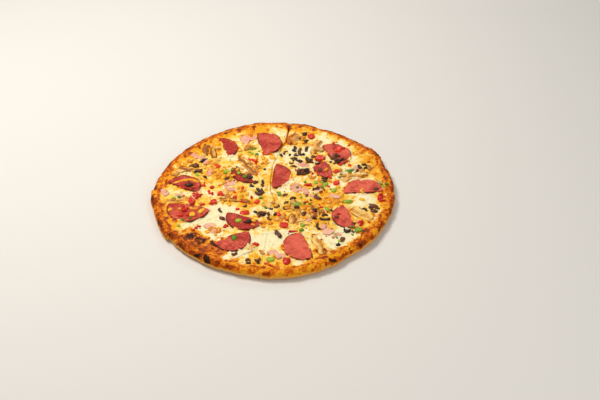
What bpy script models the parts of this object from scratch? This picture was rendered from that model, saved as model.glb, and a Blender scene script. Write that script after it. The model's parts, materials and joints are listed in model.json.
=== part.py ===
# Pan pizza, about 32 cm across, cut into eight slices that still lie together as one round.
# Plan places are in millimetres from the middle of the round: +X to the right, +Y away, +Z up.

import math

import bmesh
import bpy
import numpy as np
from mathutils import Vector, noise

MM = 0.001

# The cuts meet a little in front of the middle. Each has its direction from there in degrees
# and its bow: pairs of distance along it and offset to its left. Its line is followed in
# steps, from the meeting point to past the rim.
CUT_MEET = (1.0, -23.0)
CUT_HALF_GAP = 0.3
CUTS = [
    (32.8, [(0, 0), (30, -5), (60, -4), (80, -3), (105, 0)]),
    (82.5, [(0, 0), (12, 4), (23, 8.5), (43, 11), (73, 12.5), (93, 9.5), (112, 6), (130, 2)]),
    (124.1, [(0, 0), (25, -1.5), (50, -3), (80, -1), (100, 0)]),
    (171.8, [(0, 0)]),
    (206.2, [(0, 0), (40, -3), (65, -5), (90, -2), (110, 0)]),
    (262.9, [(0, 0)]),
    (309.3, [(0, 0), (50, 6), (75, 4), (105, 0)]),
    (349.1, [(0, 0), (45, 2), (90, 6), (110, 7), (133, 3)]),
]
CUT_REACH = 185
CUT_STEP = 4

# Radius of each slice's rim at its first cut, its middle and its last cut, so that
# the slices step a little against each other where they were cut.
SLICE_RADII = [
    (159, 155, 153.5),
    (154.5, 155, 150),
    (151.5, 153, 156),
    (157.5, 156.5, 159),
    (155, 156, 158.5),
    (159.5, 159, 153.5),
    (152.5, 154, 154.5),
    (155.5, 156.5, 157.5),
]

# Blisters of the rim: direction from the middle in degrees, half width in degrees, outwards, upwards.
RIM_BLISTERS = [
    (31, 6, 3.5, 0.6),
    (128, 5, 1.5, 0.5),
    (222, 7, 0.5, 1.6),
    (241, 6, 0.5, 1.3),
    (297, 6, 0.6, 1.0),
    (320, 8, 0.5, 1.5),
    (182, 6, 1.0, 0.6),
    (75, 5, 0.8, 0.8),
]

# Section of the dough's rim, from its underside round the outside and down to the floor
# that carries the cheese: distance inwards from the rim's outline, height.
RIM_SECTION = [
    (6.0, 0.0), (2.2, 1.0), (0.4, 3.2), (0.0, 6.0), (0.8, 9.0),
    (3.5, 11.2), (8.0, 12.0), (12.0, 10.8), (15.0, 8.6), (19.0, 7.0),
]
RIM_CREST = 6
FLOOR_HEIGHT = 7.0
RIM_LUMP = 0.7
LUMP_LENGTH = 9.0
RIM_WAVE = 0.7
WAVE_LENGTH = 14.0

# Rows from the point of a slice outwards, as shares of the way to a circle inside the rim.
INNER_RADIUS = 126.0
INNER_ROWS = [0.1, 0.21, 0.33, 0.45, 0.57, 0.69, 0.80, 0.91, 1.0]
COLUMNS = 12

# The cheese lies on the floor, runs up the rim's inner slope and thins out there: rows by their
# distance inwards from the rim's outline, with the depth of cheese.
CHEESE_GAP = 0.3
CHEESE_HEIGHT = 10.9
CHEESE_LUMP = 0.6
CHEESE_LUMP_LENGTH = 16.0
CHEESE_FULL_DEPTH = 3.0
CHEESE_RIM_ROWS = [(19.0, 3.6), (15.0, 2.3), (12.0, 0.9), (10.5, 0.5)]

# Large toppings rest at one height, in cheese that is pressed down under them.
SEAT_HEIGHT = 10.2
PRESSED_HEIGHT = 9.8

# Toppings keep this far from each other and from the cuts, and this far inside the rim's
# outline. A piece that lies too close is shifted from its place by as little as clears it.
PIECE_MARGIN = 0.6
TOPPING_RIM_ROOM = 15.5
SMALL_RIM_ROOM = 16.0
SMALL_EDGE_ROOM = 1.5
SHIFT_STEP = 0.5
SHIFT_REACH = 9.0
SHIFT_DIRECTIONS = 16

# Thickness, inset of the rounded upper edge and height of the dome, by kind of topping.
SLAB_FORMS = {
    "salami": (2.2, 1.0, 0.5),
    "ham": (2.0, 0.9, 0.3),
    "red_pepper": (4.0, 1.2, 0.3),
    "green_pepper": (4.0, 1.2, 0.3),
    "olives": (4.0, 2.0, 0.6),
}
STRIP_THICKNESS = 2.6

# How ragged the toppings' outlines are, and how round.
ARC_POINTS = 15
ARC_SHARE = 0.97
ARC_RAGGED = 0.03
ARC_CORD_WAVE = 0.6
BLOCK_SIDES = 8
BLOCK_SQUARENESS = 0.7
BLOCK_RAGGED = 0.12
BLOCK_REACH = 1.25
STRIP_STATIONS = 6
STRIP_END_SHARE = 0.45
STRIP_END_BLUNTNESS = 0.06
STRIP_RIB = [(-1.0, 0.0), (1.0, 0.0), (1.0, 0.45), (0.45, 1.0), (-0.45, 1.0), (-1.0, 0.45)]
SLAB_FOOT_SHARE = 0.97
SLAB_SIDE_SHARE = 0.55
SLAB_UNEVEN = 0.25

# Salami: half and part slices. Place, straight edge, depth of the arc, direction the arc faces.
SALAMI = [
    (-5, 101, 52, 33, 11),
    (-62, 93, 47, 20, 22),
    (7, 25, 53, 25, -6),
    (117, 2, 50, 30, 92),
    (87, 77, 49, 31, 28),
    (66, 37, 32, 24, 190),
    (-40, 25, 48, 16, 225),
    (-113, 14, 46, 27, 62),
    (-112, -48, 54, 33, -104),
    (-39, -65, 50, 26, -112),
    (-45, -101, 44, 28, -60),
    (27, -114, 47, 33, 197),
    (85, -61, 46, 25, 201),
]

# Ham: place, length, width, turn.
HAM = [
    (-40, 110, 21, 14, 100),
    (-107, 75, 16, 9, 120),
    (-56, 14, 20, 12, 10),
    (-120, -12, 12, 7, 0),
    (29, 0, 19, 15, 80),
    (56, -5, 13, 11, 30),
    (-78, -72, 15, 10, 15),
    (0, -123, 13, 11, 0),
    (65, -86, 17, 12, 20),
]

# Mushroom strips: place, length, width, turn, bend to the left.
MUSHROOM = [
    (-96, 90, 24, 11, 85, 2),
    (-82, 80, 22, 10, 100, 0),
    (-116, 44, 25, 10, 165, 1),
    (-35, 51, 50, 10, 122, 3),
    (-124, -24, 24, 7, 178, 1),
    (-50, -23, 42, 8, 172, -2),
    (57, 91, 34, 11, 70, 3),
    (24, 111, 30, 7, 72, 2),
    (105, 26, 38, 10, 2, -2),
    (111, -53, 31, 18, 140, 0),
    (51, -46, 22, 14, 95, 0),
    (26, -60, 17, 15, 80, 0),
    (54, -108, 36, 12, 105, 2),
]

# Pepper cuts and olives that are large enough to be pieces of their own: place, length, width, turn.
RED_PEPPER = [
    (61, 64, 14, 13, 20),
    (51, 115, 12, 9, 70),
    (13, -74, 12, 11, 110),
    (-105, -27, 13, 9, 95),
    (-75, -26, 10, 9, 40),
]
GREEN_PEPPER = [
    (32, -29, 12, 9, 60),
    (104, -80, 10, 9, 20),
]
OLIVES = [
    (39, 36, 22, 17, 20),
    (-15, -51, 13, 11, 30),
]

# Small cuts that lie on the cheese or on a larger topping: place, length, width, turn.
SMALL_RED = [
    (87, 83, 15, 10, 70), (80, 30, 9, 7, 40), (81, 11, 9, 8, 0), (45, 5, 11, 6, 0), (-27, 61, 13, 5, 140),
    (-75, 49, 8, 7, 30), (-97, -13, 12, 6, 10), (-80, 4, 6, 5, 60), (-69, -8, 7, 6, 20), (-40, 2, 6, 4, 80),
    (-37, -51, 13, 8, 15), (-57, -73, 7, 6, 50), (-20, -30, 8, 6, 60), (6, -51, 9, 6, 120),
    (24, -85, 12, 3, 5), (-21, -107, 9, 6, 150), (24, -137, 11, 9, 80), (101, -63, 11, 8, 80), (139, -22, 11, 7, 80),
    (-92, -38, 8, 5, 30), (-112, -42, 9, 6, 110), (-116, -53, 8, 5, 0),
]
SMALL_GREEN = [
    (-24, 73, 10, 5, 80), (-31, 87, 7, 5, 60), (-101, 31, 8, 5, 130), (-62, 37, 7, 6, 0), (-46, 32, 7, 5, 130),
    (-38, 24, 7, 5, 130), (97, 35, 8, 7, 20), (67, 8, 8, 6, 60), (54, 11, 7, 5, 100), (77, -5, 9, 6, 70),
    (94, -28, 11, 6, 5), (7, -11, 8, 5, 100), (67, -43, 8, 5, 110), (35, -73, 10, 5, 110), (34, -85, 7, 5, 40),
    (-3, -135, 10, 8, 10), (-43, -65, 7, 6, 0), (-47, -97, 9, 6, 80),
]
SMALL_OLIVES = [
    (42, 122, 9, 7, 80), (33, 111, 8, 6, 100), (44, 104, 8, 6, 70), (29, 89, 9, 4, 110), (44, 86, 10, 4, 80),
    (35, 79, 15, 5, 90), (27, 65, 8, 4, 170), (46, 61, 11, 6, 130), (61, 37, 8, 6, 90),
    (26, 47, 9, 4, 160), (15, 78, 10, 5, 60), (9, 72, 7, 4, 110), (-12, 41, 6, 4, 90), (-14, 14, 8, 3, 100),
    (-19, -8, 10, 8, 20), (15, -16, 8, 5, 20), (11, -25, 7, 4, 60), (4, -36, 8, 5, 30), (15, -40, 8, 5, 120),
    (-10, -51, 7, 4, 100), (6, -90, 14, 6, 120), (51, -78, 13, 5, 105), (41, -58, 9, 6, 70), (63, -61, 15, 6, 5),
    (56, -18, 12, 6, 120), (92, -78, 8, 7, 0), (127, -40, 14, 7, 150),
    (-67, -43, 11, 4, 110), (-36, -37, 7, 4, 40), (-95, 61, 12, 5, 50), (-104, 50, 10, 6, 20),
    (-99, 40, 10, 6, 30), (-62, 21, 7, 4, 60), (-90, 25, 8, 4, 120), (-46, -124, 7, 5, 40),
    (-18, -135, 7, 5, 30), (89, 60, 8, 5, 20), (114, 43, 11, 6, 120), (-110, 8, 11, 6, 0), (131, -5, 7, 6, 50),
    (-55, -59, 9, 6, 130), (-31, -67, 9, 5, 20), (-52, 40, 7, 4, 130), (-28, 14, 8, 5, 130), (66, 21, 10, 5, 0),
]
CORN = [
    (-72, 30), (-80, 36), (-66, 25), (-77, 24), (-60, 29), (-78, 53), (-87, 56), (-92, 47), (-70, 42),
    (-84, 44), (-99, -41), (-90, -45), (-101, -52), (-94, -28), (70, -29), (78, -31), (74, -21),
    (62, -27), (61, 14), (69, 17), (60, 4), (88, -13), (42, -38), (34, -37), (36, -46), (-42, -12),
    (-34, -10), (3, -46), (-2, -60), (7, -63), (62, -70), (54, -66), (-66, -80), (-80, -84), (-112, 60),
    (40, 113), (-46, 85), (-15, 68), (2, 66), (-12, -32), (82, 2), (29, 100), (-100, 20), (112, -24), (43, 92),
]
CORN_LENGTH = 7.5
CORN_WIDTH = 6.0
CORN_TURN = 37.0

# Number of sides and rise of a small cut, by kind. It narrows upwards, its foot is inside
# what carries it, and the carriers' surface is taken as level.
SMALL_FORMS = {
    "olive": (5, 2.4),
    "red_pepper": (4, 2.3),
    "green_pepper": (4, 2.2),
    "corn": (5, 2.1),
}
SMALL_TOP_SHARE = 0.8
FOOT_IN_CHEESE = 9.3
FOOT_IN_TOPPING = 11.2
TOPPING_SURFACE = 12.4

# Colour and roughness of what the pizza is made of.
FINISHES = {
    "baked_dough": ((0.62, 0.30, 0.09), 0.75),
    "melted_cheese": ((0.93, 0.78, 0.40), 0.45),
    "salami": ((0.50, 0.07, 0.06), 0.40),
    "ham": ((0.82, 0.42, 0.33), 0.40),
    "mushroom": ((0.55, 0.32, 0.13), 0.60),
    "red_pepper": ((0.72, 0.06, 0.02), 0.30),
    "green_pepper": ((0.18, 0.36, 0.04), 0.30),
    "olive": ((0.04, 0.02, 0.015), 0.30),
    "corn": ((0.90, 0.52, 0.04), 0.35),
}
SHARP_ANGLE = 40.0


# Remove what the scene holds and make the materials.
def clear_scene():
    for item in list(bpy.data.objects):
        bpy.data.objects.remove(item, do_unlink=True)


def make_materials():
    made = {}
    for name, (colour, roughness) in FINISHES.items():
        material = bpy.data.materials.new(name)
        material.use_nodes = True
        shader = material.node_tree.nodes["Principled BSDF"]
        shader.inputs["Base Color"].default_value = (*colour, 1.0)
        shader.inputs["Roughness"].default_value = roughness
        shader.inputs["Metallic"].default_value = 0.0
        made[name] = material
    return made


# Plan geometry of the cuts and of the rim.
def cut_direction(index, distance):
    angle, bow = CUTS[index % len(CUTS)]
    along = [pair[0] for pair in bow]
    aside = [pair[1] for pair in bow]
    turn = 360.0 if index == len(CUTS) else 0.0
    return math.radians(angle + turn) + math.asin(np.interp(distance, along, aside) / distance)


def straight_direction(index, share):
    first = CUTS[index][0]
    last = CUTS[(index + 1) % len(CUTS)][0]
    last += 360.0 if index + 1 == len(CUTS) else 0.0
    return math.radians(first + (last - first) * share)


# Distance from the cuts' meeting point, in a direction, to a circle about the pizza's middle.
def reach_to_circle(direction, radius):
    ahead = CUT_MEET[0] * math.cos(direction) + CUT_MEET[1] * math.sin(direction)
    offset = CUT_MEET[0] ** 2 + CUT_MEET[1] ** 2
    return -ahead + math.sqrt(ahead ** 2 - offset + radius ** 2)


def polar_point(direction, distance):
    return (CUT_MEET[0] + distance * math.cos(direction), CUT_MEET[1] + distance * math.sin(direction))


def blister(point):
    angle = math.degrees(math.atan2(point[1], point[0])) % 360.0
    out = 0.0
    up = 0.0
    for centre, half_width, outwards, upwards in RIM_BLISTERS:
        away = abs((angle - centre + 180.0) % 360.0 - 180.0) / half_width
        swell = math.exp(-away * away)
        out += outwards * swell
        up += upwards * swell
    return out, up


def rim_radius(index, share):
    first, middle, last = SLICE_RADII[index]
    bend = 4.0 * share * (1.0 - share)
    radius = first + (last - first) * share + (middle - (first + last) / 2.0) * bend
    direction = straight_direction(index, share)
    point = polar_point(direction, reach_to_circle(direction, radius))
    wave = RIM_WAVE * noise.noise(Vector((point[0] / WAVE_LENGTH, point[1] / WAVE_LENGTH, 3.0)))
    return radius + wave + blister(point)[0]


# Slice and share across it, for a plan point.
def slice_at(point):
    dx = point[0] - CUT_MEET[0]
    dy = point[1] - CUT_MEET[1]
    distance = max(math.hypot(dx, dy), 1.0)
    angle = math.atan2(dy, dx)
    for index in range(len(CUTS)):
        start = cut_direction(index, distance)
        end = cut_direction(index + 1, distance)
        ahead = (angle - start) % (2.0 * math.pi)
        if ahead <= end - start:
            return index, ahead / (end - start)
    return 0, 0.0


# Radius of the rim's outline for every degree round the middle.
def rim_limits():
    limits = []
    for degree in range(361):
        angle = math.radians(degree)
        index, share = slice_at((INNER_RADIUS * math.cos(angle), INNER_RADIUS * math.sin(angle)))
        limits.append(rim_radius(index, share))
    return limits


def room_to_rim(points, limits):
    angles = np.degrees(np.arctan2(points[:, 1], points[:, 0])) % 360.0
    return (np.interp(angles, range(361), limits) - np.hypot(points[:, 0], points[:, 1])).min()


# One point of a slice's grid: a share across the slice at a distance from the meeting point.
def grid_point(index, share, distance):
    margin = math.asin(CUT_HALF_GAP / distance)
    start = cut_direction(index, distance) + margin
    end = cut_direction(index + 1, distance) - margin
    return polar_point(start + (end - start) * share, distance)


def inner_row(index, part):
    row = []
    for column in range(COLUMNS + 1):
        share = column / COLUMNS
        direction = straight_direction(index, share)
        row.append(grid_point(index, share, part * reach_to_circle(direction, INNER_RADIUS)))
    return row


def rim_row(index, inwards):
    row = []
    for column in range(COLUMNS + 1):
        share = column / COLUMNS
        direction = straight_direction(index, share)
        distance = reach_to_circle(direction, rim_radius(index, share) - inwards)
        row.append(grid_point(index, share, distance))
    return row


def slice_tip(index):
    start = cut_direction(index, 1.0)
    end = cut_direction(index + 1, 1.0)
    return polar_point((start + end) / 2.0, CUT_HALF_GAP / math.sin((end - start) / 2.0))


# Lumps of the browned rim, none at its underside and none on the floor.
def rim_height(point, inwards, height):
    if height <= FLOOR_HEIGHT or inwards >= RIM_SECTION[-1][0]:
        return height
    lump = RIM_LUMP * noise.noise(Vector((point[0] / LUMP_LENGTH, point[1] / LUMP_LENGTH, 0.0)))
    return height + lump + blister(point)[1]


# A closed shape from rows of plan points and the polygons between them.
class Shape:
    def __init__(self):
        self.points = []
        self.faces = []

    def add_row(self, row, heights):
        start = len(self.points)
        self.points += [(x, y, z) for (x, y), z in zip(row, heights)]
        return list(range(start, len(self.points)))

    def bridge(self, lower, upper):
        for k in range(len(lower) - 1):
            self.faces.append((lower[k], lower[k + 1], upper[k + 1], upper[k]))


def new_object(name, points, faces, material, parent, place=(0.0, 0.0, 0.0), turn=0.0):
    mesh = bpy.data.meshes.new(name)
    mesh.from_pydata([(x * MM, y * MM, z * MM) for x, y, z in points], [], faces)
    mesh.materials.append(material)
    # All faces are turned to point outwards here.
    shape = bmesh.new()
    shape.from_mesh(mesh)
    bmesh.ops.recalc_face_normals(shape, faces=shape.faces)
    shape.to_mesh(mesh)
    shape.free()
    thing = bpy.data.objects.new(name, mesh)
    thing.location = (place[0] * MM, place[1] * MM, place[2] * MM)
    thing.rotation_euler = (0.0, 0.0, math.radians(turn))
    thing.parent = parent
    bpy.context.scene.collection.objects.link(thing)
    return thing


def shade(thing):
    thing.data.shade_smooth()
    thing.data.set_sharp_from_angle(angle=math.radians(SHARP_ANGLE))


# Dough of one slice: a flat wedge with its rim, which has a section of its own.
def build_crust(index, material, parent):
    shape = Shape()
    inner = [inner_row(index, part) for part in INNER_ROWS]
    tip = slice_tip(index)
    sides = {}
    for level in (0.0, FLOOR_HEIGHT):
        first = shape.add_row([tip], [level])
        starts = shape.add_row([row[0] for row in inner], [level] * len(inner))
        ends = shape.add_row([row[-1] for row in inner], [level] * len(inner))
        sides[level] = (first + starts, first + ends)
    rings = []
    for inwards, height in RIM_SECTION:
        row = rim_row(index, inwards)
        rings.append(shape.add_row(row, [rim_height(point, inwards, height) for point in row]))
    for lower, upper in zip(rings, rings[1:]):
        shape.bridge(lower, upper)
    low_start, low_end = sides[0.0]
    high_start, high_end = sides[FLOOR_HEIGHT]
    shape.faces.append(tuple(low_end + rings[0][::-1] + low_start[:0:-1]))
    shape.faces.append(tuple(high_start + rings[-1] + high_end[:0:-1]))
    for k in range(len(low_start) - 1):
        shape.faces.append((low_start[k], low_start[k + 1], high_start[k + 1], high_start[k]))
        shape.faces.append((low_end[k + 1], low_end[k], high_end[k], high_end[k + 1]))
    shape.faces.append(tuple([low_start[-1]] + [ring[0] for ring in rings] + [high_start[-1]]))
    shape.faces.append(tuple([high_end[-1]] + [ring[-1] for ring in rings[::-1]] + [low_end[-1]]))
    crust = new_object(f"crust_slice_{index + 1}", shape.points, shape.faces, material, parent)
    shade(crust)
    return crust


# Measures between plan outlines.
def gap_to_line(points, line):
    start = line[:-1]
    run = line[1:] - start
    length = np.maximum((run ** 2).sum(axis=1), 1e-9)
    offset = points[:, None, :] - start[None, :, :]
    share = np.clip((offset * run[None, :, :]).sum(axis=2) / length[None, :], 0.0, 1.0)
    nearest = offset - share[:, :, None] * run[None, :, :]
    return np.sqrt((nearest ** 2).sum(axis=2)).min()


def side_of(start, end, points):
    run = end - start
    offset = points[None, :, :] - start[:, None, :]
    return run[:, None, 0] * offset[:, :, 1] - run[:, None, 1] * offset[:, :, 0]


def lines_cross(line, other):
    first = side_of(line[:-1], line[1:], other)
    second = side_of(other[:-1], other[1:], line)
    apart = first[:, :-1] * first[:, 1:] < 0.0
    across = second[:, :-1] * second[:, 1:] < 0.0
    return bool((apart & across.T).any())


def closed(outline):
    return np.vstack([outline, outline[:1]])


def holds(outline, point):
    ring = closed(outline)
    inside = False
    for (x0, y0), (x1, y1) in zip(ring[:-1], ring[1:]):
        if (y0 > point[1]) != (y1 > point[1]):
            if point[0] < x0 + (point[1] - y0) / (y1 - y0) * (x1 - x0):
                inside = not inside
    return inside


def boxes_meet(outline, other):
    low = outline.min(axis=0) - PIECE_MARGIN
    high = outline.max(axis=0) + PIECE_MARGIN
    return bool((other.max(axis=0) >= low).all() and (other.min(axis=0) <= high).all())


def is_apart(outline, other, margin):
    if holds(outline, other[0]) or holds(other, outline[0]):
        return False
    ring = closed(outline)
    other_ring = closed(other)
    if lines_cross(ring, other_ring):
        return False
    return min(gap_to_line(outline, other_ring), gap_to_line(other, ring)) >= margin


def cut_lines():
    lines = []
    for index in range(len(CUTS)):
        line = [polar_point(cut_direction(index, reach), reach) for reach in range(1, CUT_REACH, CUT_STEP)]
        lines.append(np.array(line))
    return lines


def clears_cuts(outline, lines, margin):
    ring = closed(outline)
    for line in lines:
        if lines_cross(ring, line) or gap_to_line(line, ring) < margin or gap_to_line(outline, line) < margin:
            return False
    return True


def moved(outline, place, turn):
    angle = math.radians(turn)
    spin = np.array([[math.cos(angle), math.sin(angle)], [-math.sin(angle), math.cos(angle)]])
    return outline @ spin + np.array(place)


# The smallest shift from its place that keeps a piece clear of the cuts, the rim and the others.
def settle(outline, place, turn, lines, limits, others, rim_room):
    for step in range(int(SHIFT_REACH / SHIFT_STEP) + 1):
        for k in range(SHIFT_DIRECTIONS if step else 1):
            angle = 2.0 * math.pi * k / SHIFT_DIRECTIONS
            reach = step * SHIFT_STEP
            spot = (place[0] + reach * math.cos(angle), place[1] + reach * math.sin(angle))
            ring = moved(outline, spot, turn)
            if room_to_rim(ring, limits) < rim_room:
                continue
            if not clears_cuts(ring, lines, CUT_HALF_GAP + PIECE_MARGIN):
                continue
            if all(is_apart(ring, other, PIECE_MARGIN) for other in others if boxes_meet(ring, other)):
                return spot, ring
    return None, None


# Unevenness between -1 and 1 of one point of a numbered piece; each use has a layer of its own.
def uneven(step, number, layer):
    return noise.noise(Vector((0.9 * step, 7.3 * number, layer)))


# Outlines of the toppings about their own middle.
def arc_outline(edge, depth, number):
    radius = (edge * edge / 4.0 + depth * depth) / (2.0 * depth)
    half = math.acos((radius - depth) / radius) * ARC_SHARE
    points = []
    for k in range(ARC_POINTS):
        angle = half * (2.0 * k / (ARC_POINTS - 1) - 1.0)
        ragged = 1.0 + ARC_RAGGED * uneven(k, number, 1.0)
        points.append((depth / 2.0 - radius + radius * ragged * math.cos(angle), radius * math.sin(angle)))
    points.append((-depth / 2.0 + ARC_CORD_WAVE * uneven(2.0, number, 5.0), 0.0))
    return np.array(points)


def block_outline(length, width, number, sides=BLOCK_SIDES):
    points = []
    for k in range(sides):
        angle = 2.0 * math.pi * (k + 0.5) / sides
        square = 1.0 / max(abs(math.cos(angle)), abs(math.sin(angle))) ** BLOCK_SQUARENESS
        reach = min(square * (1.0 + BLOCK_RAGGED * uneven(2.0 * k, number, 9.0)), BLOCK_REACH)
        points.append((length / 2.0 * reach * math.cos(angle), width / 2.0 * reach * math.sin(angle)))
    return np.array(points)


def strip_sections(length, width, bend):
    sections = []
    for k in range(STRIP_STATIONS):
        share = k / (STRIP_STATIONS - 1)
        along = length * (share - 0.5)
        aside = bend * (4.0 * share * (1.0 - share) - 0.5)
        blunt = min(max(share, STRIP_END_BLUNTNESS), 1.0 - STRIP_END_BLUNTNESS)
        swell = math.sqrt(math.sin(math.pi * blunt))
        half = width / 2.0 * (STRIP_END_SHARE + (1.0 - STRIP_END_SHARE) * swell)
        sections.append((along, aside, half))
    return sections


def strip_outline(length, width, bend):
    sections = strip_sections(length, width, bend)
    right = [(along, aside - half) for along, aside, half in sections]
    left = [(along, aside + half) for along, aside, half in sections]
    return np.array(right + left[::-1])


# A slab on an outline: upright sides, a rounded upper edge and a slightly domed top.
def slab_shape(outline, thickness, inset, dome, number):
    count = len(outline)
    middle = outline.mean(axis=0)
    size = np.sqrt(((outline - middle) ** 2).sum(axis=1)).mean()
    levels = [(SLAB_FOOT_SHARE, 0.0), (1.0, thickness * SLAB_SIDE_SHARE), (1.0 - inset / size, thickness)]
    points = []
    for scale, height in levels:
        for k, spot in enumerate(outline):
            x, y = middle + (spot - middle) * scale
            lift = SLAB_UNEVEN * height * uneven(0.5 * k, number, 4.0)
            points.append((x, y, height + lift))
    points.append((middle[0], middle[1], thickness + dome))
    faces = [tuple(range(count))]
    for level in range(len(levels) - 1):
        for k in range(count):
            after = (k + 1) % count
            low = level * count
            faces.append((low + k, low + after, low + count + after, low + count + k))
    edge = (len(levels) - 1) * count
    for k in range(count):
        faces.append((edge + k, edge + (k + 1) % count, edge + count))
    return points, faces


# A strip with an arched back, from one end to the other.
def strip_shape(length, width, bend, thickness):
    points = []
    faces = []
    sections = strip_sections(length, width, bend)
    for along, aside, half in sections:
        points += [(along, aside + half * side, thickness * height) for side, height in STRIP_RIB]
    size = len(STRIP_RIB)
    for section in range(len(sections) - 1):
        for k in range(size):
            after = (k + 1) % size
            low = section * size
            faces.append((low + k, low + size + k, low + size + after, low + after))
    faces.append(tuple(range(size)))
    faces.append(tuple(range(len(points) - 1, len(points) - size - 1, -1)))
    return points, faces


# A small cut: a block with slanted sides, from its foot to its top.
def small_shape(outline, foot, top):
    count = len(outline)
    points = [(x, y, foot) for x, y in outline]
    points += [(x * SMALL_TOP_SHARE, y * SMALL_TOP_SHARE, top) for x, y in outline]
    faces = [tuple(range(count)), tuple(range(count, 2 * count))]
    for k in range(count):
        after = (k + 1) % count
        faces.append((k, after, count + after, count + k))
    return points, faces


# Where every large topping lies, with its outline in plan. One that finds no room is left out.
def lay_toppings(lines, limits):
    kinds = {"salami": SALAMI, "ham": HAM, "mushroom": MUSHROOM, "red_pepper": RED_PEPPER,
             "green_pepper": GREEN_PEPPER, "olives": OLIVES}
    laid = []
    for kind, rows in kinds.items():
        for number, item in enumerate(rows, start=1):
            place = item[:2]
            length, width, turn = item[2:5]
            if kind == "salami":
                outline = arc_outline(length, width, number)
            elif kind == "mushroom":
                outline = strip_outline(length, width, item[5])
            else:
                outline = block_outline(length, width, number)
            others = [other["ring"] for other in laid]
            spot, ring = settle(outline, place, turn, lines, limits, others, TOPPING_RIM_ROOM)
            if spot is not None:
                laid.append({"name": f"{kind}_{number}", "kind": kind, "number": number, "item": item,
                             "outline": outline, "ring": ring, "spot": spot, "turn": turn, "small": []})
    return laid


# True where a small cut's outline is well inside a topping's and clear of the cuts laid there.
def lies_on(ring, piece, rings):
    if not all(holds(piece["ring"], point) for point in ring):
        return False
    if gap_to_line(ring, closed(piece["ring"])) < SMALL_EDGE_ROOM:
        return False
    return all(is_apart(ring, other, PIECE_MARGIN) for other in rings if boxes_meet(ring, other))


# Where every small cut lies: wholly on one salami or mushroom, or on the cheese between the toppings.
def lay_small_cuts(lines, limits, laid):
    kinds = {"olive": SMALL_OLIVES, "red_pepper": SMALL_RED, "green_pepper": SMALL_GREEN,
             "corn": [(x, y, CORN_LENGTH, CORN_WIDTH, CORN_TURN * k) for k, (x, y) in enumerate(CORN)]}
    carriers = [piece for piece in laid if piece["kind"] in ("salami", "mushroom")]
    toppings = [piece["ring"] for piece in laid]
    rings = []
    cheese_cuts = [[] for _ in CUTS]
    for kind, rows in kinds.items():
        sides, rise = SMALL_FORMS[kind]
        for x, y, length, width, turn in rows:
            outline = block_outline(length, width, len(rings), sides)
            ring = moved(outline, (x, y), turn)
            spot = (x, y)
            under = [piece for piece in carriers if lies_on(ring, piece, rings)]
            if not under:
                spot, ring = settle(outline, spot, turn, lines, limits, toppings + rings, SMALL_RIM_ROOM)
            if spot is None:
                continue
            rings.append(ring)
            cut = {"kind": kind, "outline": outline, "spot": spot, "turn": turn, "rise": rise}
            home = under[0]["small"] if under else cheese_cuts[slice_at(spot)[0]]
            home.append(cut)
    return cheese_cuts


# True where a triangle of the cheese's grid reaches under a topping.
def touches(corners, rings):
    return any(not is_apart(corners, ring, PIECE_MARGIN) for ring in rings if boxes_meet(corners, ring))


def cheese_lump(point, depth):
    lump = noise.noise(Vector((point[0] / CHEESE_LUMP_LENGTH, point[1] / CHEESE_LUMP_LENGTH, 7.0)))
    return CHEESE_LUMP * lump * min(1.0, depth / CHEESE_FULL_DEPTH)


# Rows of a slice's cheese from its point outwards, with the floor and the top at each of their points.
def cheese_rows(index):
    rows = [inner_row(index, part) for part in INNER_ROWS]
    floors = [[FLOOR_HEIGHT] * (COLUMNS + 1) for _ in rows]
    depths = [CHEESE_HEIGHT - FLOOR_HEIGHT] * len(rows)
    slope = RIM_SECTION[RIM_CREST:]
    for inwards, depth in CHEESE_RIM_ROWS:
        row = rim_row(index, inwards)
        height = np.interp(inwards, [pair[0] for pair in slope], [pair[1] for pair in slope])
        rows.append(row)
        floors.append([rim_height(point, inwards, height) for point in row])
        depths.append(depth)
    tops = []
    for row, floor, depth in zip(rows, floors, depths):
        tops.append([height + depth + cheese_lump(point, depth) for point, height in zip(row, floor)])
    return rows, floors, tops


# Press the cheese down to one level under the toppings, and give the height of the slice's point.
def press_down(tip, rows, tops, rings):
    for r in range(len(rows) - 1):
        for c in range(COLUMNS):
            cell = [(r, c), (r, c + 1), (r + 1, c + 1), (r + 1, c)]
            if touches(np.array([rows[i][j] for i, j in cell]), rings):
                for i, j in cell:
                    tops[i][j] = min(tops[i][j], PRESSED_HEIGHT)
    tip_cell = np.array([tip, rows[0][-1], rows[0][COLUMNS // 2], rows[0][0]])
    return PRESSED_HEIGHT if touches(tip_cell, rings) else CHEESE_HEIGHT


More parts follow.
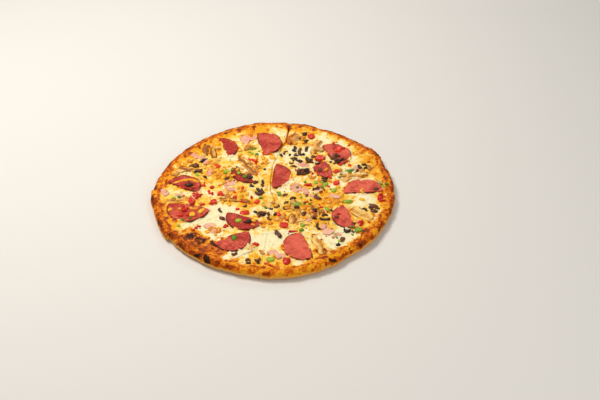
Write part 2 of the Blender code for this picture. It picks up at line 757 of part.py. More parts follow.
# Cheese of one slice. Its underside is one flat face inside the rim, and rows where it climbs the
# rim, bridged in the same order as the dough's so that the two surfaces stay parallel.
def build_cheese(index, material, parent, rings):
    tip = slice_tip(index)
    rows, floors, tops = cheese_rows(index)
    tip_height = press_down(tip, rows, tops, rings)
    shape = Shape()
    low_tip = shape.add_row([tip], [FLOOR_HEIGHT + CHEESE_GAP])[0]
    high_tip = shape.add_row([tip], [tip_height])[0]
    upper = [shape.add_row(row, top) for row, top in zip(rows, tops)]
    flat = len(INNER_ROWS)
    lower = []
    for row, floor in zip(rows, floors):
        heights = [height + CHEESE_GAP for height in floor]
        if len(lower) < flat:
            lower.append(shape.add_row([row[0], row[-1]], [heights[0], heights[-1]]))
        else:
            lower.append(shape.add_row(row, heights))
    starts = [row[0] for row in lower]
    ends = [row[-1] for row in lower]
    for c in range(COLUMNS):
        shape.faces.append((high_tip, upper[0][c], upper[0][c + 1]))
    for inner, outer in zip(upper, upper[1:]):
        shape.bridge(inner, outer)
    shape.faces.append(tuple([low_tip] + ends[:flat] + lower[flat][::-1] + starts[:flat][::-1]))
    for inner, outer in zip(lower[flat:], lower[flat + 1:]):
        shape.bridge(outer, inner)
    shape.bridge(lower[-1], upper[-1])
    shape.faces.append((low_tip, starts[0], upper[0][0], high_tip))
    shape.faces.append((low_tip, ends[0], upper[0][-1], high_tip))
    for r in range(len(rows) - 1):
        shape.faces.append((starts[r], starts[r + 1], upper[r + 1][0], upper[r][0]))
        shape.faces.append((ends[r], ends[r + 1], upper[r + 1][-1], upper[r][-1]))
    cheese = new_object(f"cheese_slice_{index + 1}", shape.points, shape.faces, material, parent)
    shade(cheese)
    return cheese


def build_topping(piece, materials, parent):
    kind = piece["kind"]
    if kind == "mushroom":
        length, width, _, bend = piece["item"][2:]
        points, faces = strip_shape(length, width, bend, STRIP_THICKNESS)
    else:
        points, faces = slab_shape(piece["outline"], *SLAB_FORMS[kind], piece["number"])
    finish = materials["olive" if kind == "olives" else kind]
    place = (*piece["spot"], SEAT_HEIGHT)
    thing = new_object(piece["name"], points, faces, finish, parent, place, piece["turn"])
    shade(thing)
    return thing


# Join small cuts to what they lie on with one union, and remove them. MANIFOLD is the solver
# that takes this many cuts on a lumpy surface.
def fuse(thing, cuts, foot, top, materials, parent):
    if not cuts:
        return
    group = bpy.data.collections.new(thing.name + "_cuts")
    for number, cut in enumerate(cuts):
        points, faces = small_shape(cut["outline"], foot, top + cut["rise"])
        place = (*cut["spot"], 0.0)
        small = new_object(f"cut_{number}", points, faces, materials[cut["kind"]], parent, place, cut["turn"])
        bpy.context.scene.collection.objects.unlink(small)
        group.objects.link(small)
    bpy.context.scene.collection.children.link(group)
    union = thing.modifiers.new("small_cuts", "BOOLEAN")
    union.operation = "UNION"
    union.operand_type = "COLLECTION"
    union.collection = group
    union.solver = "MANIFOLD"
    bpy.context.view_layer.update()
    joined = bpy.data.meshes.new_from_object(thing.evaluated_get(bpy.context.evaluated_depsgraph_get()))
    thing.modifiers.clear()
    thing.data = joined
    for small in list(group.objects):
        bpy.data.objects.remove(small, do_unlink=True)
    bpy.data.collections.remove(group)
    shade(thing)


# The pizza's own origin is the middle of its outline, on the surface that it rests on.
def outline_middle():
    points = np.array([point for index in range(len(CUTS)) for point in rim_row(index, 0.0)])
    return (points.min(axis=0) + points.max(axis=0)) / 2.0


def main():
    clear_scene()
    materials = make_materials()
    middle = outline_middle()
    pizza = bpy.data.objects.new("pizza", None)
    pizza.location = (-middle[0] * MM, -middle[1] * MM, 0.0)
    bpy.context.scene.collection.objects.link(pizza)
    lines = cut_lines()
    limits = rim_limits()
    laid = lay_toppings(lines, limits)
    cheese_cuts = lay_small_cuts(lines, limits, laid)
    rings = [piece["ring"] for piece in laid]
    for index in range(len(CUTS)):
        build_crust(index, materials["baked_dough"], pizza)
        cheese = build_cheese(index, materials["melted_cheese"], pizza, rings)
        fuse(cheese, cheese_cuts[index], FOOT_IN_CHEESE, CHEESE_HEIGHT, materials, pizza)
    for piece in laid:
        thing = build_topping(piece, materials, pizza)
        fuse(thing, piece["small"], FOOT_IN_TOPPING, TOPPING_SURFACE, materials, pizza)


if __name__ == "__main__":
    main()
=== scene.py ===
import json
import math

import bmesh
import bpy
import numpy as np
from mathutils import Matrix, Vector, noise
from mathutils.bvhtree import BVHTree
from mathutils.kdtree import KDTree

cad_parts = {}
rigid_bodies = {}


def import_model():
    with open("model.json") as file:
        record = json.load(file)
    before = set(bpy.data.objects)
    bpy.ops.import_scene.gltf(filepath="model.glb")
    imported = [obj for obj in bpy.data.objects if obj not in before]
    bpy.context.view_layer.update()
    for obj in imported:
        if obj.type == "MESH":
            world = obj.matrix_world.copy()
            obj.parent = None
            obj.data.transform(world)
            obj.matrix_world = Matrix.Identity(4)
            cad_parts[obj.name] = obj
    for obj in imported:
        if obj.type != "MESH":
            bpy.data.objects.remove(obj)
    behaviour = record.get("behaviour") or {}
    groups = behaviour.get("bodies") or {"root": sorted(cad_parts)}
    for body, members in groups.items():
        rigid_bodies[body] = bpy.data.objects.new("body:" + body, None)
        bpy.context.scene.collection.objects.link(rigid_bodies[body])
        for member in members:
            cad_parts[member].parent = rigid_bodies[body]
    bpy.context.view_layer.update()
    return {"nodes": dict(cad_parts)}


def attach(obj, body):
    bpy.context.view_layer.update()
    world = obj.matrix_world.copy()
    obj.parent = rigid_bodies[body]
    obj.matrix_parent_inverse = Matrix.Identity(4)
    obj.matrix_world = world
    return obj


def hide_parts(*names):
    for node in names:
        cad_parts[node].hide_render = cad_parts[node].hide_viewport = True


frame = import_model()
mm = 0.001
print("frame loaded:", len(frame["nodes"]), "parts")


# Small helpers for numbers and noise.
def smoothStep(low, high, value):
    share = np.clip((value - low) / (high - low), 0.0, 1.0)
    return share * share * (3.0 - 2.0 * share)


def noiseField(points, size, layer):
    # points are plan or space points in millimetres, size is the length of one lump
    if points.shape[1] == 2:
        return np.array([noise.noise((x / size, y / size, layer)) for x, y in points])
    return np.array([noise.noise((x / size, y / size, z / size + layer)) for x, y, z in points])


def layeredNoise(points, layers):
    # layers are (length of one lump, height, layer of the noise)
    return sum(height * noiseField(points, size, layer) for size, height, layer in layers)


def cellField(points, size, layer):
    # distance to the nearest scattered centre, 0 at the centre
    return np.array([noise.voronoi((x / size, y / size, layer))[0][0] for x, y in points])


def paint(red, green, blue):
    # a colour as it looks on a screen, 0 to 255, for a shader's socket
    mixed = []
    for value in (red, green, blue):
        share = value / 255.0
        mixed.append(share / 12.92 if share <= 0.04045 else ((share + 0.055) / 1.055) ** 2.4)
    return (*mixed, 1.0)


# Plan of the round: the same cuts, radii and rim section as the solids have.
roundPlan = {
    "cutMeet": (1.0, -23.0),
    "cuts": [
        (32.8, [(0, 0), (30, -5), (60, -4), (80, -3), (105, 0)]),
        (82.5, [(0, 0), (12, 4), (23, 8.5), (43, 11), (73, 12.5), (93, 9.5), (112, 6), (130, 2)]),
        (124.1, [(0, 0), (25, -1.5), (50, -3), (80, -1), (100, 0)]),
        (171.8, [(0, 0)]),
        (206.2, [(0, 0), (40, -3), (65, -5), (90, -2), (110, 0)]),
        (262.9, [(0, 0)]),
        (309.3, [(0, 0), (50, 6), (75, 4), (105, 0)]),
        (349.1, [(0, 0), (45, 2), (90, 6), (110, 7), (133, 3)]),
    ],
    "sliceRadii": [
        (159, 155, 153.5), (154.5, 155, 150), (151.5, 153, 156), (157.5, 156.5, 159),
        (155, 156, 158.5), (159.5, 159, 153.5), (152.5, 154, 154.5), (155.5, 156.5, 157.5),
    ],
    # direction, half width in degrees, outwards, upwards
    "blisters": [
        (31, 6, 3.5, 0.6), (128, 5, 1.5, 0.5), (222, 7, 0.5, 1.6), (241, 6, 0.5, 1.3),
        (297, 6, 0.6, 1.0), (320, 8, 0.5, 1.5), (182, 6, 1.0, 0.6), (75, 5, 0.8, 0.8),
    ],
    "rimSection": [
        (6.0, 0.0), (2.2, 1.0), (0.4, 3.2), (0.0, 6.0), (0.8, 9.0),
        (3.5, 11.2), (8.0, 12.0), (12.0, 10.8), (15.0, 8.6), (19.0, 7.0),
    ],
    "rimWave": (0.7, 14.0),
    "rimLump": (0.7, 9.0),
    "innerRadius": 126.0,
    "floorHeight": 7.0,
    "cheeseLump": (0.6, 16.0),
    "cheeseDepth": [(5.0, 0.35), (10.5, 0.5), (12.0, 0.9), (15.0, 2.3), (19.0, 3.6), (26.0, 3.9)],
    "trim": 0.3,            # the fine outline keeps this far inside the solid's
    "highest": 14.75,
    # half width of each cut as it shows, near the middle and at the rim: the far one gapes
    "halfGaps": [(0.06, 0.14), (0.35, 0.80), (0.06, 0.14), (0.06, 0.14), (0.06, 0.20), (0.10, 0.12),
                 (0.08, 0.22), (0.06, 0.16)],
    "gapOpens": (60.0, 165.0),
}
sliceCount = len(roundPlan["cuts"])


def cutDirection(index, reach):
    angle, bow = roundPlan["cuts"][index % sliceCount]
    along, aside = np.transpose(bow)
    turn = 360.0 * (index // sliceCount)
    return np.radians(angle + turn) + np.arcsin(np.interp(reach, along, aside) / reach)


def straightDirection(index, shares):
    first = roundPlan["cuts"][index][0]
    last = roundPlan["cuts"][(index + 1) % sliceCount][0] + 360.0 * ((index + 1) // sliceCount)
    return np.radians(first + (last - first) * shares)


def reachToCircle(direction, radius):
    meetX, meetY = roundPlan["cutMeet"]
    ahead = meetX * np.cos(direction) + meetY * np.sin(direction)
    return -ahead + np.sqrt(ahead ** 2 - meetX ** 2 - meetY ** 2 + radius ** 2)


def polarPoints(direction, reach):
    meetX, meetY = roundPlan["cutMeet"]
    return np.stack([meetX + reach * np.cos(direction), meetY + reach * np.sin(direction)], axis=-1)


def blisterSwell(points):
    angle = np.degrees(np.arctan2(points[:, 1], points[:, 0]))
    outwards = np.zeros(len(points))
    upwards = np.zeros(len(points))
    for centre, halfWidth, out, up in roundPlan["blisters"]:
        away = np.abs((angle - centre + 180.0) % 360.0 - 180.0) / halfWidth
        swell = np.exp(-away * away)
        outwards += out * swell
        upwards += up * swell
    return outwards, upwards


def rimRadius(index, shares):
    first, middle, last = roundPlan["sliceRadii"][index]
    bend = 4.0 * shares * (1.0 - shares)
    radius = first + (last - first) * shares + (middle - (first + last) / 2.0) * bend
    direction = straightDirection(index, shares)
    points = polarPoints(direction, reachToCircle(direction, radius))
    height, size = roundPlan["rimWave"]
    return radius + height * noiseField(points, size, 3.0) + blisterSwell(points)[0]


def halfGap(index, reach):
    middle, rim = roundPlan["halfGaps"][index % sliceCount]
    return middle + (rim - middle) * smoothStep(*roundPlan["gapOpens"], reach)


def gridRow(index, shares, reach):
    # one row of plan points across a slice, between its two cuts
    start = cutDirection(index, reach) + np.arcsin(halfGap(index, reach) / reach)
    end = cutDirection(index + 1, reach) - np.arcsin(halfGap(index + 1, reach) / reach)
    return polarPoints(start + (end - start) * shares, reach)


def rimRow(index, shares, radius, inwards):
    return gridRow(index, shares, reachToCircle(straightDirection(index, shares), radius - inwards))


def innerRow(index, shares, part):
    reach = reachToCircle(straightDirection(index, shares), roundPlan["innerRadius"])
    return gridRow(index, shares, np.maximum(part * reach, 1.2))


def middleOfRound():
    shares = np.linspace(0.0, 1.0, 13)
    rows = [rimRow(index, shares, rimRadius(index, shares), 0.0) for index in range(sliceCount)]
    points = np.vstack(rows)
    return (points.min(axis=0) + points.max(axis=0)) / 2.0


planMiddle = middleOfRound()


# Read the places of the toppings from the solids.
def flatOutlines(node, height):
    # outlines of the level facets that a solid has at one height, counter-clockwise, in plan
    mesh = frame["nodes"][node].data
    points = np.array([vertex.co for vertex in mesh.vertices]) / mm
    level = np.abs(points[:, 2] - height) < 0.02
    keys = [tuple(point) for point in np.round(points[:, :2], 2)]
    edges = set()
    for face in mesh.polygons:
        corners = list(face.vertices)
        if all(level[corner] for corner in corners):
            for here, there in zip(corners, corners[1:] + corners[:1]):
                edges.add((keys[here], keys[there]))
    following = {here: there for here, there in edges if (there, here) not in edges}
    outlines = []
    while following:
        start, spot = following.popitem()
        ring = [start]
        while spot != start and spot in following:
            ring.append(spot)
            spot = following.pop(spot)
        ring = np.array(ring) + planMiddle
        after = np.roll(ring, -1, axis=0)
        area = (ring[:, 0] * after[:, 1] - after[:, 0] * ring[:, 1]).sum() / 2.0
        if len(ring) > 2 and abs(area) > 1.0:
            outlines.append(ring if area > 0.0 else ring[::-1])
    return outlines


def densely(outline, count):
    # the same outline with a number of evenly spaced points
    ring = np.vstack([outline, outline[:1]])
    steps = np.hypot(*np.diff(ring, axis=0).T)
    travelled = np.concatenate([[0.0], np.cumsum(steps)])
    stops = np.linspace(0.0, travelled[-1], count, endpoint=False)
    return np.stack([np.interp(stops, travelled, ring[:, axis]) for axis in (0, 1)], axis=-1)


def cornersCut(outline, rounds):
    for _ in range(rounds):
        after = np.roll(outline, -1, axis=0)
        outline = np.stack([0.75 * outline + 0.25 * after, 0.25 * outline + 0.75 * after], axis=1)
        outline = outline.reshape(-1, 2)
    return outline


def longAxis(outline):
    # middle, direction and extents of an outline along its longest direction
    points = densely(outline, 80)
    middle = points.mean(axis=0)
    offset = points - middle
    values, vectors = np.linalg.eigh(offset.T @ offset)
    direction = vectors[:, 1]
    across = np.array([-direction[1], direction[0]])
    along = offset @ direction
    aside = offset @ across
    return middle, direction, along.max() - along.min(), aside.max() - aside.min()


carried = {
    "seat": 10.2,
    "footShare": 0.97,
    "surfaces": {"cheese": 10.9, "topping": 12.4},
    "rises": {"olive": 2.4, "red_pepper": 2.3, "green_pepper": 2.2, "corn": 2.1},
    "topShare": 0.8,
}
toppingNodes = [name for name in sorted(frame["nodes"]) if not name.startswith(("crust", "cheese"))]
feet = {name: flatOutlines(name, carried["seat"])[0] for name in toppingNodes}

smallCuts = {kind: [] for kind in carried["rises"]}
for node in sorted(frame["nodes"]):
    if node.startswith(("cheese", "salami")):
        surface = carried["surfaces"]["cheese" if node.startswith("cheese") else "topping"]
        for kind, rise in carried["rises"].items():
            for outline in flatOutlines(node, surface + rise):
                middle, direction, length, width = longAxis(outline)
                share = carried["topShare"]
                smallCuts[kind].append({
                    "place": middle, "surface": surface, "outline": outline,
                    "turn": math.atan2(direction[1], direction[0]),
                    "length": length / share, "width": width / share,
                })
print("places read:", len(feet), "toppings,", {kind: len(cuts) for kind, cuts in smallCuts.items()})


def flatTree(outlines):
    # search tree over flat outlines, for the distance to the nearest of them
    points = []
    faces = []
    for outline in outlines:
        faces.append(tuple(range(len(points), len(points) + len(outline))))
        points += [(x, y, 0.0) for x, y in outline]
    return BVHTree.FromPolygons(points, faces)


def distanceTo(tree, points, limit):
    found = [tree.find_nearest((x, y, 0.0), limit)[3] for x, y in points]
    return np.array([limit if distance is None else distance for distance in found])


def edgeTree(outlines):
    # search tree over points along the outlines, for the distance to the nearest edge
    points = [point for outline in outlines for point in densely(outline, 160)]
    tree = KDTree(len(points))
    for number, (x, y) in enumerate(points):
        tree.insert((x, y, 0.0), number)
    tree.balance()
    return tree


toppingEdges = edgeTree(feet.values())
toppingTree = flatTree(feet.values())
cutTree = flatTree([cut["outline"] for cuts in smallCuts.values() for cut in cuts])


# Helpers for node trees and shaders.
def join(tree, value, socket):
    if isinstance(value, bpy.types.NodeSocket):
        tree.links.new(value, socket)
    else:
        socket.default_value = value


def addNode(tree, kind, inputs=None, **settings):
    node = tree.nodes.new(kind)
    for key, value in settings.items():
        setattr(node, key, value)
    for key, value in (inputs or {}).items():
        join(tree, value, node.inputs[key])
    return node


class Shader:
    def __init__(self, name):
        self.material = bpy.data.materials.new(name)
        self.material.use_nodes = True
        self.tree = self.material.node_tree
        self.surface = self.tree.nodes["Principled BSDF"]
        self.place = self.add("ShaderNodeTexCoord").outputs["Object"]

    def add(self, kind, inputs=None, **settings):
        return addNode(self.tree, kind, inputs, **settings)

    def noise(self, size, detail=3.0, roughness=0.55, twist=0.0):
        # size is the length of one lump in millimetres
        inputs = {"Vector": self.place, "Scale": 1.0 / (size * mm), "Detail": detail, "Roughness": roughness,
                  "Distortion": twist}
        return self.add("ShaderNodeTexNoise", inputs).outputs["Fac"]

    def cells(self, size, feature="F1"):
        inputs = {"Vector": self.place, "Scale": 1.0 / (size * mm)}
        return self.add("ShaderNodeTexVoronoi", inputs, feature=feature).outputs["Distance"]

    def attribute(self, name):
        return self.add("ShaderNodeAttribute", attribute_name=name, attribute_type="GEOMETRY").outputs["Fac"]

    def sum(self, *values):
        total = values[0]
        for value in values[1:]:
            total = self.add("ShaderNodeMath", {0: total, 1: value}, operation="ADD").outputs[0]
        return total

    def scaled(self, value, factor, offset=0.0):
        return self.add("ShaderNodeMath", {0: value, 1: factor, 2: offset}, operation="MULTIPLY_ADD").outputs[0]

    def stirred(self, value, fields, weights):
        # the value moved up and down by noises that run from 0 to 1
        for field, weight in zip(fields, weights):
            value = self.sum(value, self.scaled(field, weight, -0.5 * weight))
        return value

    def band(self, value, low, high):
        # 0 below low, 1 above high, smooth between
        inputs = {"Value": value, "From Min": low, "From Max": high}
        return self.add("ShaderNodeMapRange", inputs, interpolation_type="SMOOTHSTEP").outputs["Result"]

    def mix(self, share, first, second):
        # sockets 6 and 7 hold the two colours
        return self.add("ShaderNodeMix", {"Factor": share, 6: first, 7: second}, data_type="RGBA").outputs[2]

    def layered(self, colour, value, layers):
        # each layer takes over while the value goes through its band
        for low, high, layer in layers:
            colour = self.mix(self.band(value, low, high), colour, layer)
        return colour

    def bump(self, *heights):
        # heights are (value, depth in millimetres)
        normal = None
        for value, depth in heights:
            node = self.add("ShaderNodeBump", {"Height": value, "Distance": depth * mm, "Strength": 1.0})
            if normal is not None:
                self.tree.links.new(normal, node.inputs["Normal"])
            normal = node.outputs["Normal"]
        self.tree.links.new(normal, self.surface.inputs["Normal"])

    def set(self, **sockets):
        for key, value in sockets.items():
            join(self.tree, value, self.surface.inputs[key.replace("_", " ")])


# In a finish a noise is (length of one lump, detail, roughness, twist), a layer is (from, to, colour)
# over the value that brings it out, a stir is the weight of each noise, and the roughness is a
# noise times the first number plus the second.
doughFinish = {
    "pale": paint(226, 170, 98),
    "golden": [(0.10, 0.36, paint(246, 168, 30))],
    "browned": [(0.38, 0.62, paint(216, 104, 10)), (0.62, 0.86, paint(150, 60, 8)), (0.88, 1.15, paint(88, 32, 8))],
    "burnt": [(0.35, 0.75, paint(48, 22, 12))],
    "patches": (11.0, 2.0), "spots": (5.0, 3.0, 0.6, 0.6), "specks": (2.2, 3.0, 0.6),
    "goldenStir": (0.5,), "brownStir": (1.0, 1.1, 0.6), "burnStir": (0.9, 0.7),
    "roughness": (0.4, 0.38), "gloss": 0.14, "glossTint": (1.0, 0.80, 0.45, 1.0),
    "grain": 1.6, "pores": 2.6, "depths": (0.35, 0.25, 0.8),      # of the grain, the pores and the spots
}


def makeDough():
    shader = Shader("bakedDough")
    form = doughFinish
    patches, spots, specks = (shader.noise(*form[key]) for key in ("patches", "spots", "specks"))
    given = shader.attribute("bake")
    # only what the attribute leaves unbaked stays pale
    colour = shader.layered(form["pale"], shader.stirred(given, [patches], form["goldenStir"]), form["golden"])
    bake = shader.stirred(given, (patches, spots, specks), form["brownStir"])
    burn = shader.stirred(shader.attribute("burn"), (spots, specks), form["burnStir"])
    colour = shader.layered(shader.layered(colour, bake, form["browned"]), burn, form["burnt"])
    shader.set(Base_Color=colour, Roughness=shader.scaled(patches, *form["roughness"]),
               Specular_IOR_Level=form["gloss"], Specular_Tint=form["glossTint"])
    shader.bump(*zip((shader.noise(form["grain"]), shader.cells(form["pores"]), spots), form["depths"]))
    return shader.material


cheeseFinish = {
    "cream": paint(255, 242, 194),
    "warm": [(-0.10, 0.16, paint(255, 214, 92)), (0.16, 0.42, paint(247, 168, 16))],
    "toasted": [(0.14, 0.36, paint(247, 168, 16)), (0.38, 0.62, paint(218, 106, 8)), (0.64, 0.92, paint(142, 54, 8))],
    "burnt": [(0.35, 0.75, paint(58, 22, 10))],
    "broad": (20.0, 2.0, 0.5, 0.5), "patches": (8.0, 3.0, 0.6, 0.8), "specks": (2.4, 3.0, 0.6),
    "warmStir": (0.9, 1.3, 0.45), "toastStir": (1.1, 0.6), "burnStir": (0.6, 0.8),
    "roughness": (0.5, 0.12), "gloss": 0.22, "glossTint": (1.0, 0.86, 0.55, 1.0),
    "glow": 0.04, "glowReach": 0.003,
    "grain": 3.0, "bubbles": 4.5, "depths": (0.6, 0.45),
}


def makeCheese():
    shader = Shader("meltedCheese")
    form = cheeseFinish
    broad, patches, specks = (shader.noise(*form[key]) for key in ("broad", "patches", "specks"))
    warmth = shader.stirred(shader.attribute("warmth"), (broad, patches, specks), form["warmStir"])
    # browning of the cheese together with painted shade along the toppings and the far cut
    toast = shader.stirred(shader.attribute("toast"), (patches, specks), form["toastStir"])
    burn = shader.stirred(shader.attribute("burn"), (patches, specks), form["burnStir"])
    colour = shader.layered(form["cream"], warmth, form["warm"])
    colour = shader.layered(shader.layered(colour, toast, form["toasted"]), burn, form["burnt"])
    shader.set(Base_Color=colour, Roughness=shader.scaled(patches, *form["roughness"]),
               Specular_IOR_Level=form["gloss"], Specular_Tint=form["glossTint"],
               Subsurface_Weight=form["glow"], Subsurface_Scale=form["glowReach"])
    shader.bump(*zip((shader.noise(form["grain"]), shader.cells(form["bubbles"], "SMOOTH_F1")), form["depths"]))
    return shader.material


meatFinish = {
    "salami": {"lean": paint(234, 102, 76), "deep": paint(174, 36, 26), "edge": paint(122, 20, 12),
               "fat": paint(240, 150, 112), "fatSize": 2.6, "fatShare": 0.30},
    "ham": {"lean": paint(248, 192, 162), "deep": paint(236, 162, 134), "edge": paint(214, 126, 88),
            "fat": paint(253, 220, 192), "fatSize": 5.0, "fatShare": 0.35},
    "broad": (15.0, 2.0, 0.5, 0.8), "mottle": (4.5, 4.0, 0.65, 0.5), "blotch": (3.2, 4.0, 0.7, 0.9),
    "toneStir": (0.65, 0.45, 0.55), "deepBand": (-0.19, 0.17),
    "fatNoise": (2.0, 2.0), "fatBand": (-0.35, -0.2),
    "rindNoise": (4.0,), "rindStir": (0.9,), "rindBand": (0.40, 1.0),
    "roughness": (0.5, 0.14), "gloss": 0.26, "glossTint": (1.0, 0.88, 0.75, 1.0),
    "glow": 0.06, "glowReach": 0.002,
    "grain": 1.6, "depths": (0.7, 0.35, 0.12),                    # of the mottle, the blotches and the grain
}


def makeMeat(name, kind):
    shader = Shader(name)
    form = meatFinish
    meat = form[kind]
    broad, mottle, blotch = (shader.noise(*form[key]) for key in ("broad", "mottle", "blotch"))
    depth = shader.attribute("depth")
    tone = shader.stirred(depth, (broad, mottle, blotch), form["toneStir"])
    colour = shader.layered(meat["lean"], tone, [(*form["deepBand"], meat["deep"])])
    spots = shader.sum(shader.cells(meat["fatSize"]), shader.scaled(shader.noise(*form["fatNoise"]), -1.0))
    fatMask = shader.scaled(shader.band(spots, *form["fatBand"]), -meat["fatShare"], meat["fatShare"])
    colour = shader.mix(fatMask, colour, meat["fat"])
    rind = shader.sum(shader.attribute("edge"), depth)
    rind = shader.stirred(rind, [shader.noise(*form["rindNoise"])], form["rindStir"])
    colour = shader.layered(colour, rind, [(*form["rindBand"], meat["edge"])])
    shader.set(Base_Color=colour, Roughness=shader.scaled(mottle, *form["roughness"]),
               Specular_IOR_Level=form["gloss"], Specular_Tint=form["glossTint"],
               Subsurface_Weight=form["glow"], Subsurface_Scale=form["glowReach"])
    shader.bump(*zip((mottle, blotch, shader.cells(form["grain"])), form["depths"]))
    return shader.material


mushroomFinish = {
    "light": paint(254, 216, 128),
    "browned": [(0.36, 0.60, paint(232, 164, 66)), (0.60, 0.82, paint(160, 88, 26))],
    "edge": [(0.5, 1.05, paint(84, 42, 14))],
    "fibre": {"along": 0.13, "across": 1.1},                      # lumps for each millimetre
    # the groove weight sets the painted shade that darkens the grooves
    "patches": (8.0,), "patchStir": (0.5,), "groove": 0.30,
    "edgeNoise": (3.5,), "edgeStir": (1.3,),
    "roughness": (0.3, 0.3), "gloss": 0.25,
    "grain": 1.4, "depths": (0.25, 0.5),                          # of the grain and the fibres
}


def makeMushroom():
    # fibres run along the strip: the attributes say how far along and across a point lies
    shader = Shader("brownedMushroom")
    form = mushroomFinish
    along, across = (shader.scaled(shader.attribute(key), scale) for key, scale in form["fibre"].items())
    place = {"X": along, "Y": across, "Z": shader.attribute("kind")}
    place = shader.add("ShaderNodeCombineXYZ", place).outputs["Vector"]
    fibres = shader.add("ShaderNodeTexNoise", {"Vector": place, "Scale": 1.0, "Detail": 4.0, "Roughness": 0.6})
    fibres = fibres.outputs["Fac"]
    patches = shader.noise(*form["patches"])
    # darker in the grooves: painted shade in the recesses, with the drift noise as tone
    groove = shader.scaled(shader.attribute("groove"), form["groove"])
    tone = shader.sum(shader.stirred(fibres, [patches], form["patchStir"]), groove, shader.attribute("depth"))
    edge = shader.stirred(shader.attribute("edge"), [shader.noise(*form["edgeNoise"])], form["edgeStir"])
    colour = shader.layered(shader.layered(form["light"], tone, form["browned"]), edge, form["edge"])
    shader.set(Base_Color=colour, Roughness=shader.scaled(patches, *form["roughness"]),
               Specular_IOR_Level=form["gloss"])
    shader.bump(*zip((shader.noise(form["grain"]), fibres), form["depths"]))
    return shader.material


cutFinish = {
    # name, light and dark colour, roughness, wet coat
    "red_pepper": ("redPepper", (240, 60, 10), (200, 16, 3), 0.28, 0.22),
    "green_pepper": ("greenPepper", (168, 190, 40), (84, 128, 16), 0.3, 0.22),
    "olive": ("blackOlive", (122, 66, 36), (48, 25, 12), 0.45, 0.05),
    "corn": ("sweetCorn", (252, 188, 34), (232, 138, 14), 0.3, 0.3),
    "mushroomScrap": ("mushroomScrap", (250, 200, 112), (204, 126, 50), 0.5, 0.0),
    "crumb": ("toastedCrumb", (196, 112, 40), (96, 46, 16), 0.6, 0.0),
}
cutLook = {"shade": 0.7, "mottle": 0.5, "mottleSize": 2.6, "band": (0.3, 0.9), "gloss": 0.3, "coatRoughness": 0.15,
           "grain": 1.2, "depth": 0.12}


def makeCutVegetable(name, light, dark, roughness, wetness):
    # skin or flesh of a small cut: the attribute tells one cut from the next
    shader = Shader(name)
    form = cutLook
    tone = shader.sum(shader.scaled(shader.attribute("shade"), form["shade"]),
                      shader.scaled(shader.noise(form["mottleSize"]), form["mottle"]))
    colour = shader.layered(paint(*light), tone, [(*form["band"], paint(*dark))])
    shader.set(Base_Color=colour, Roughness=roughness, Specular_IOR_Level=form["gloss"], Coat_Weight=wetness,
               Coat_Roughness=form["coatRoughness"])
    shader.bump((shader.noise(form["grain"]), form["depth"]))
    return shader.material


finishes = {"dough": makeDough(), "cheese": makeCheese(), "mushroom": makeMushroom(),
            "salami": makeMeat("salamiMeat", "salami"), "ham": makeMeat("hamMeat", "ham")}
for kind, look in cutFinish.items():
    finishes[kind] = makeCutVegetable(*look)
print("finishes made")


# Turn a surface in plan into a piece at the origin; crease is the angle past which an edge is sharp.
def makePiece(name, surface, finish, crease=80.0):
    places = np.array(surface.points, dtype=float)
    places[:, :2] -= planMiddle
    mesh = bpy.data.meshes.new(name)
    mesh.from_pydata((places * mm).tolist(), [], surface.faces)
    for key, values in surface.values.items():
        layer = mesh.attributes.new(key, "FLOAT", "POINT")
        layer.data.foreach_set("value", np.asarray(values, dtype=np.float32))
    mesh.materials.append(finishes[finish])
    shell = bmesh.new()
    shell.from_mesh(mesh)
    bmesh.ops.recalc_face_normals(shell, faces=shell.faces)
    shell.to_mesh(mesh)
    shell.free()
    mesh.shade_smooth()
    mesh.set_sharp_from_angle(angle=math.radians(crease))
    piece = bpy.data.objects.new(name, mesh)
    bpy.context.scene.collection.objects.link(piece)
    return piece


def dress(piece, nodes=()):
    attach(piece, "root")
    if nodes:
        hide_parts(*nodes)


class Surface:
    # collects rows of points, with named values, and the faces between them
    def __init__(self):
        self.points = []
        self.faces = []
        self.values = {}

    def addRow(self, plan, heights, **values):
        start = len(self.points)
        self.points += [(x, y, z) for (x, y), z in zip(plan, np.broadcast_to(heights, len(plan)))]
        for key, value in values.items():
            self.values.setdefault(key, []).extend(np.broadcast_to(value, len(plan)).tolist())
        return list(range(start, len(self.points)))

    def bridge(self, lower, upper):
        self.faces += list(zip(lower[:-1], lower[1:], upper[1:], upper[:-1]))


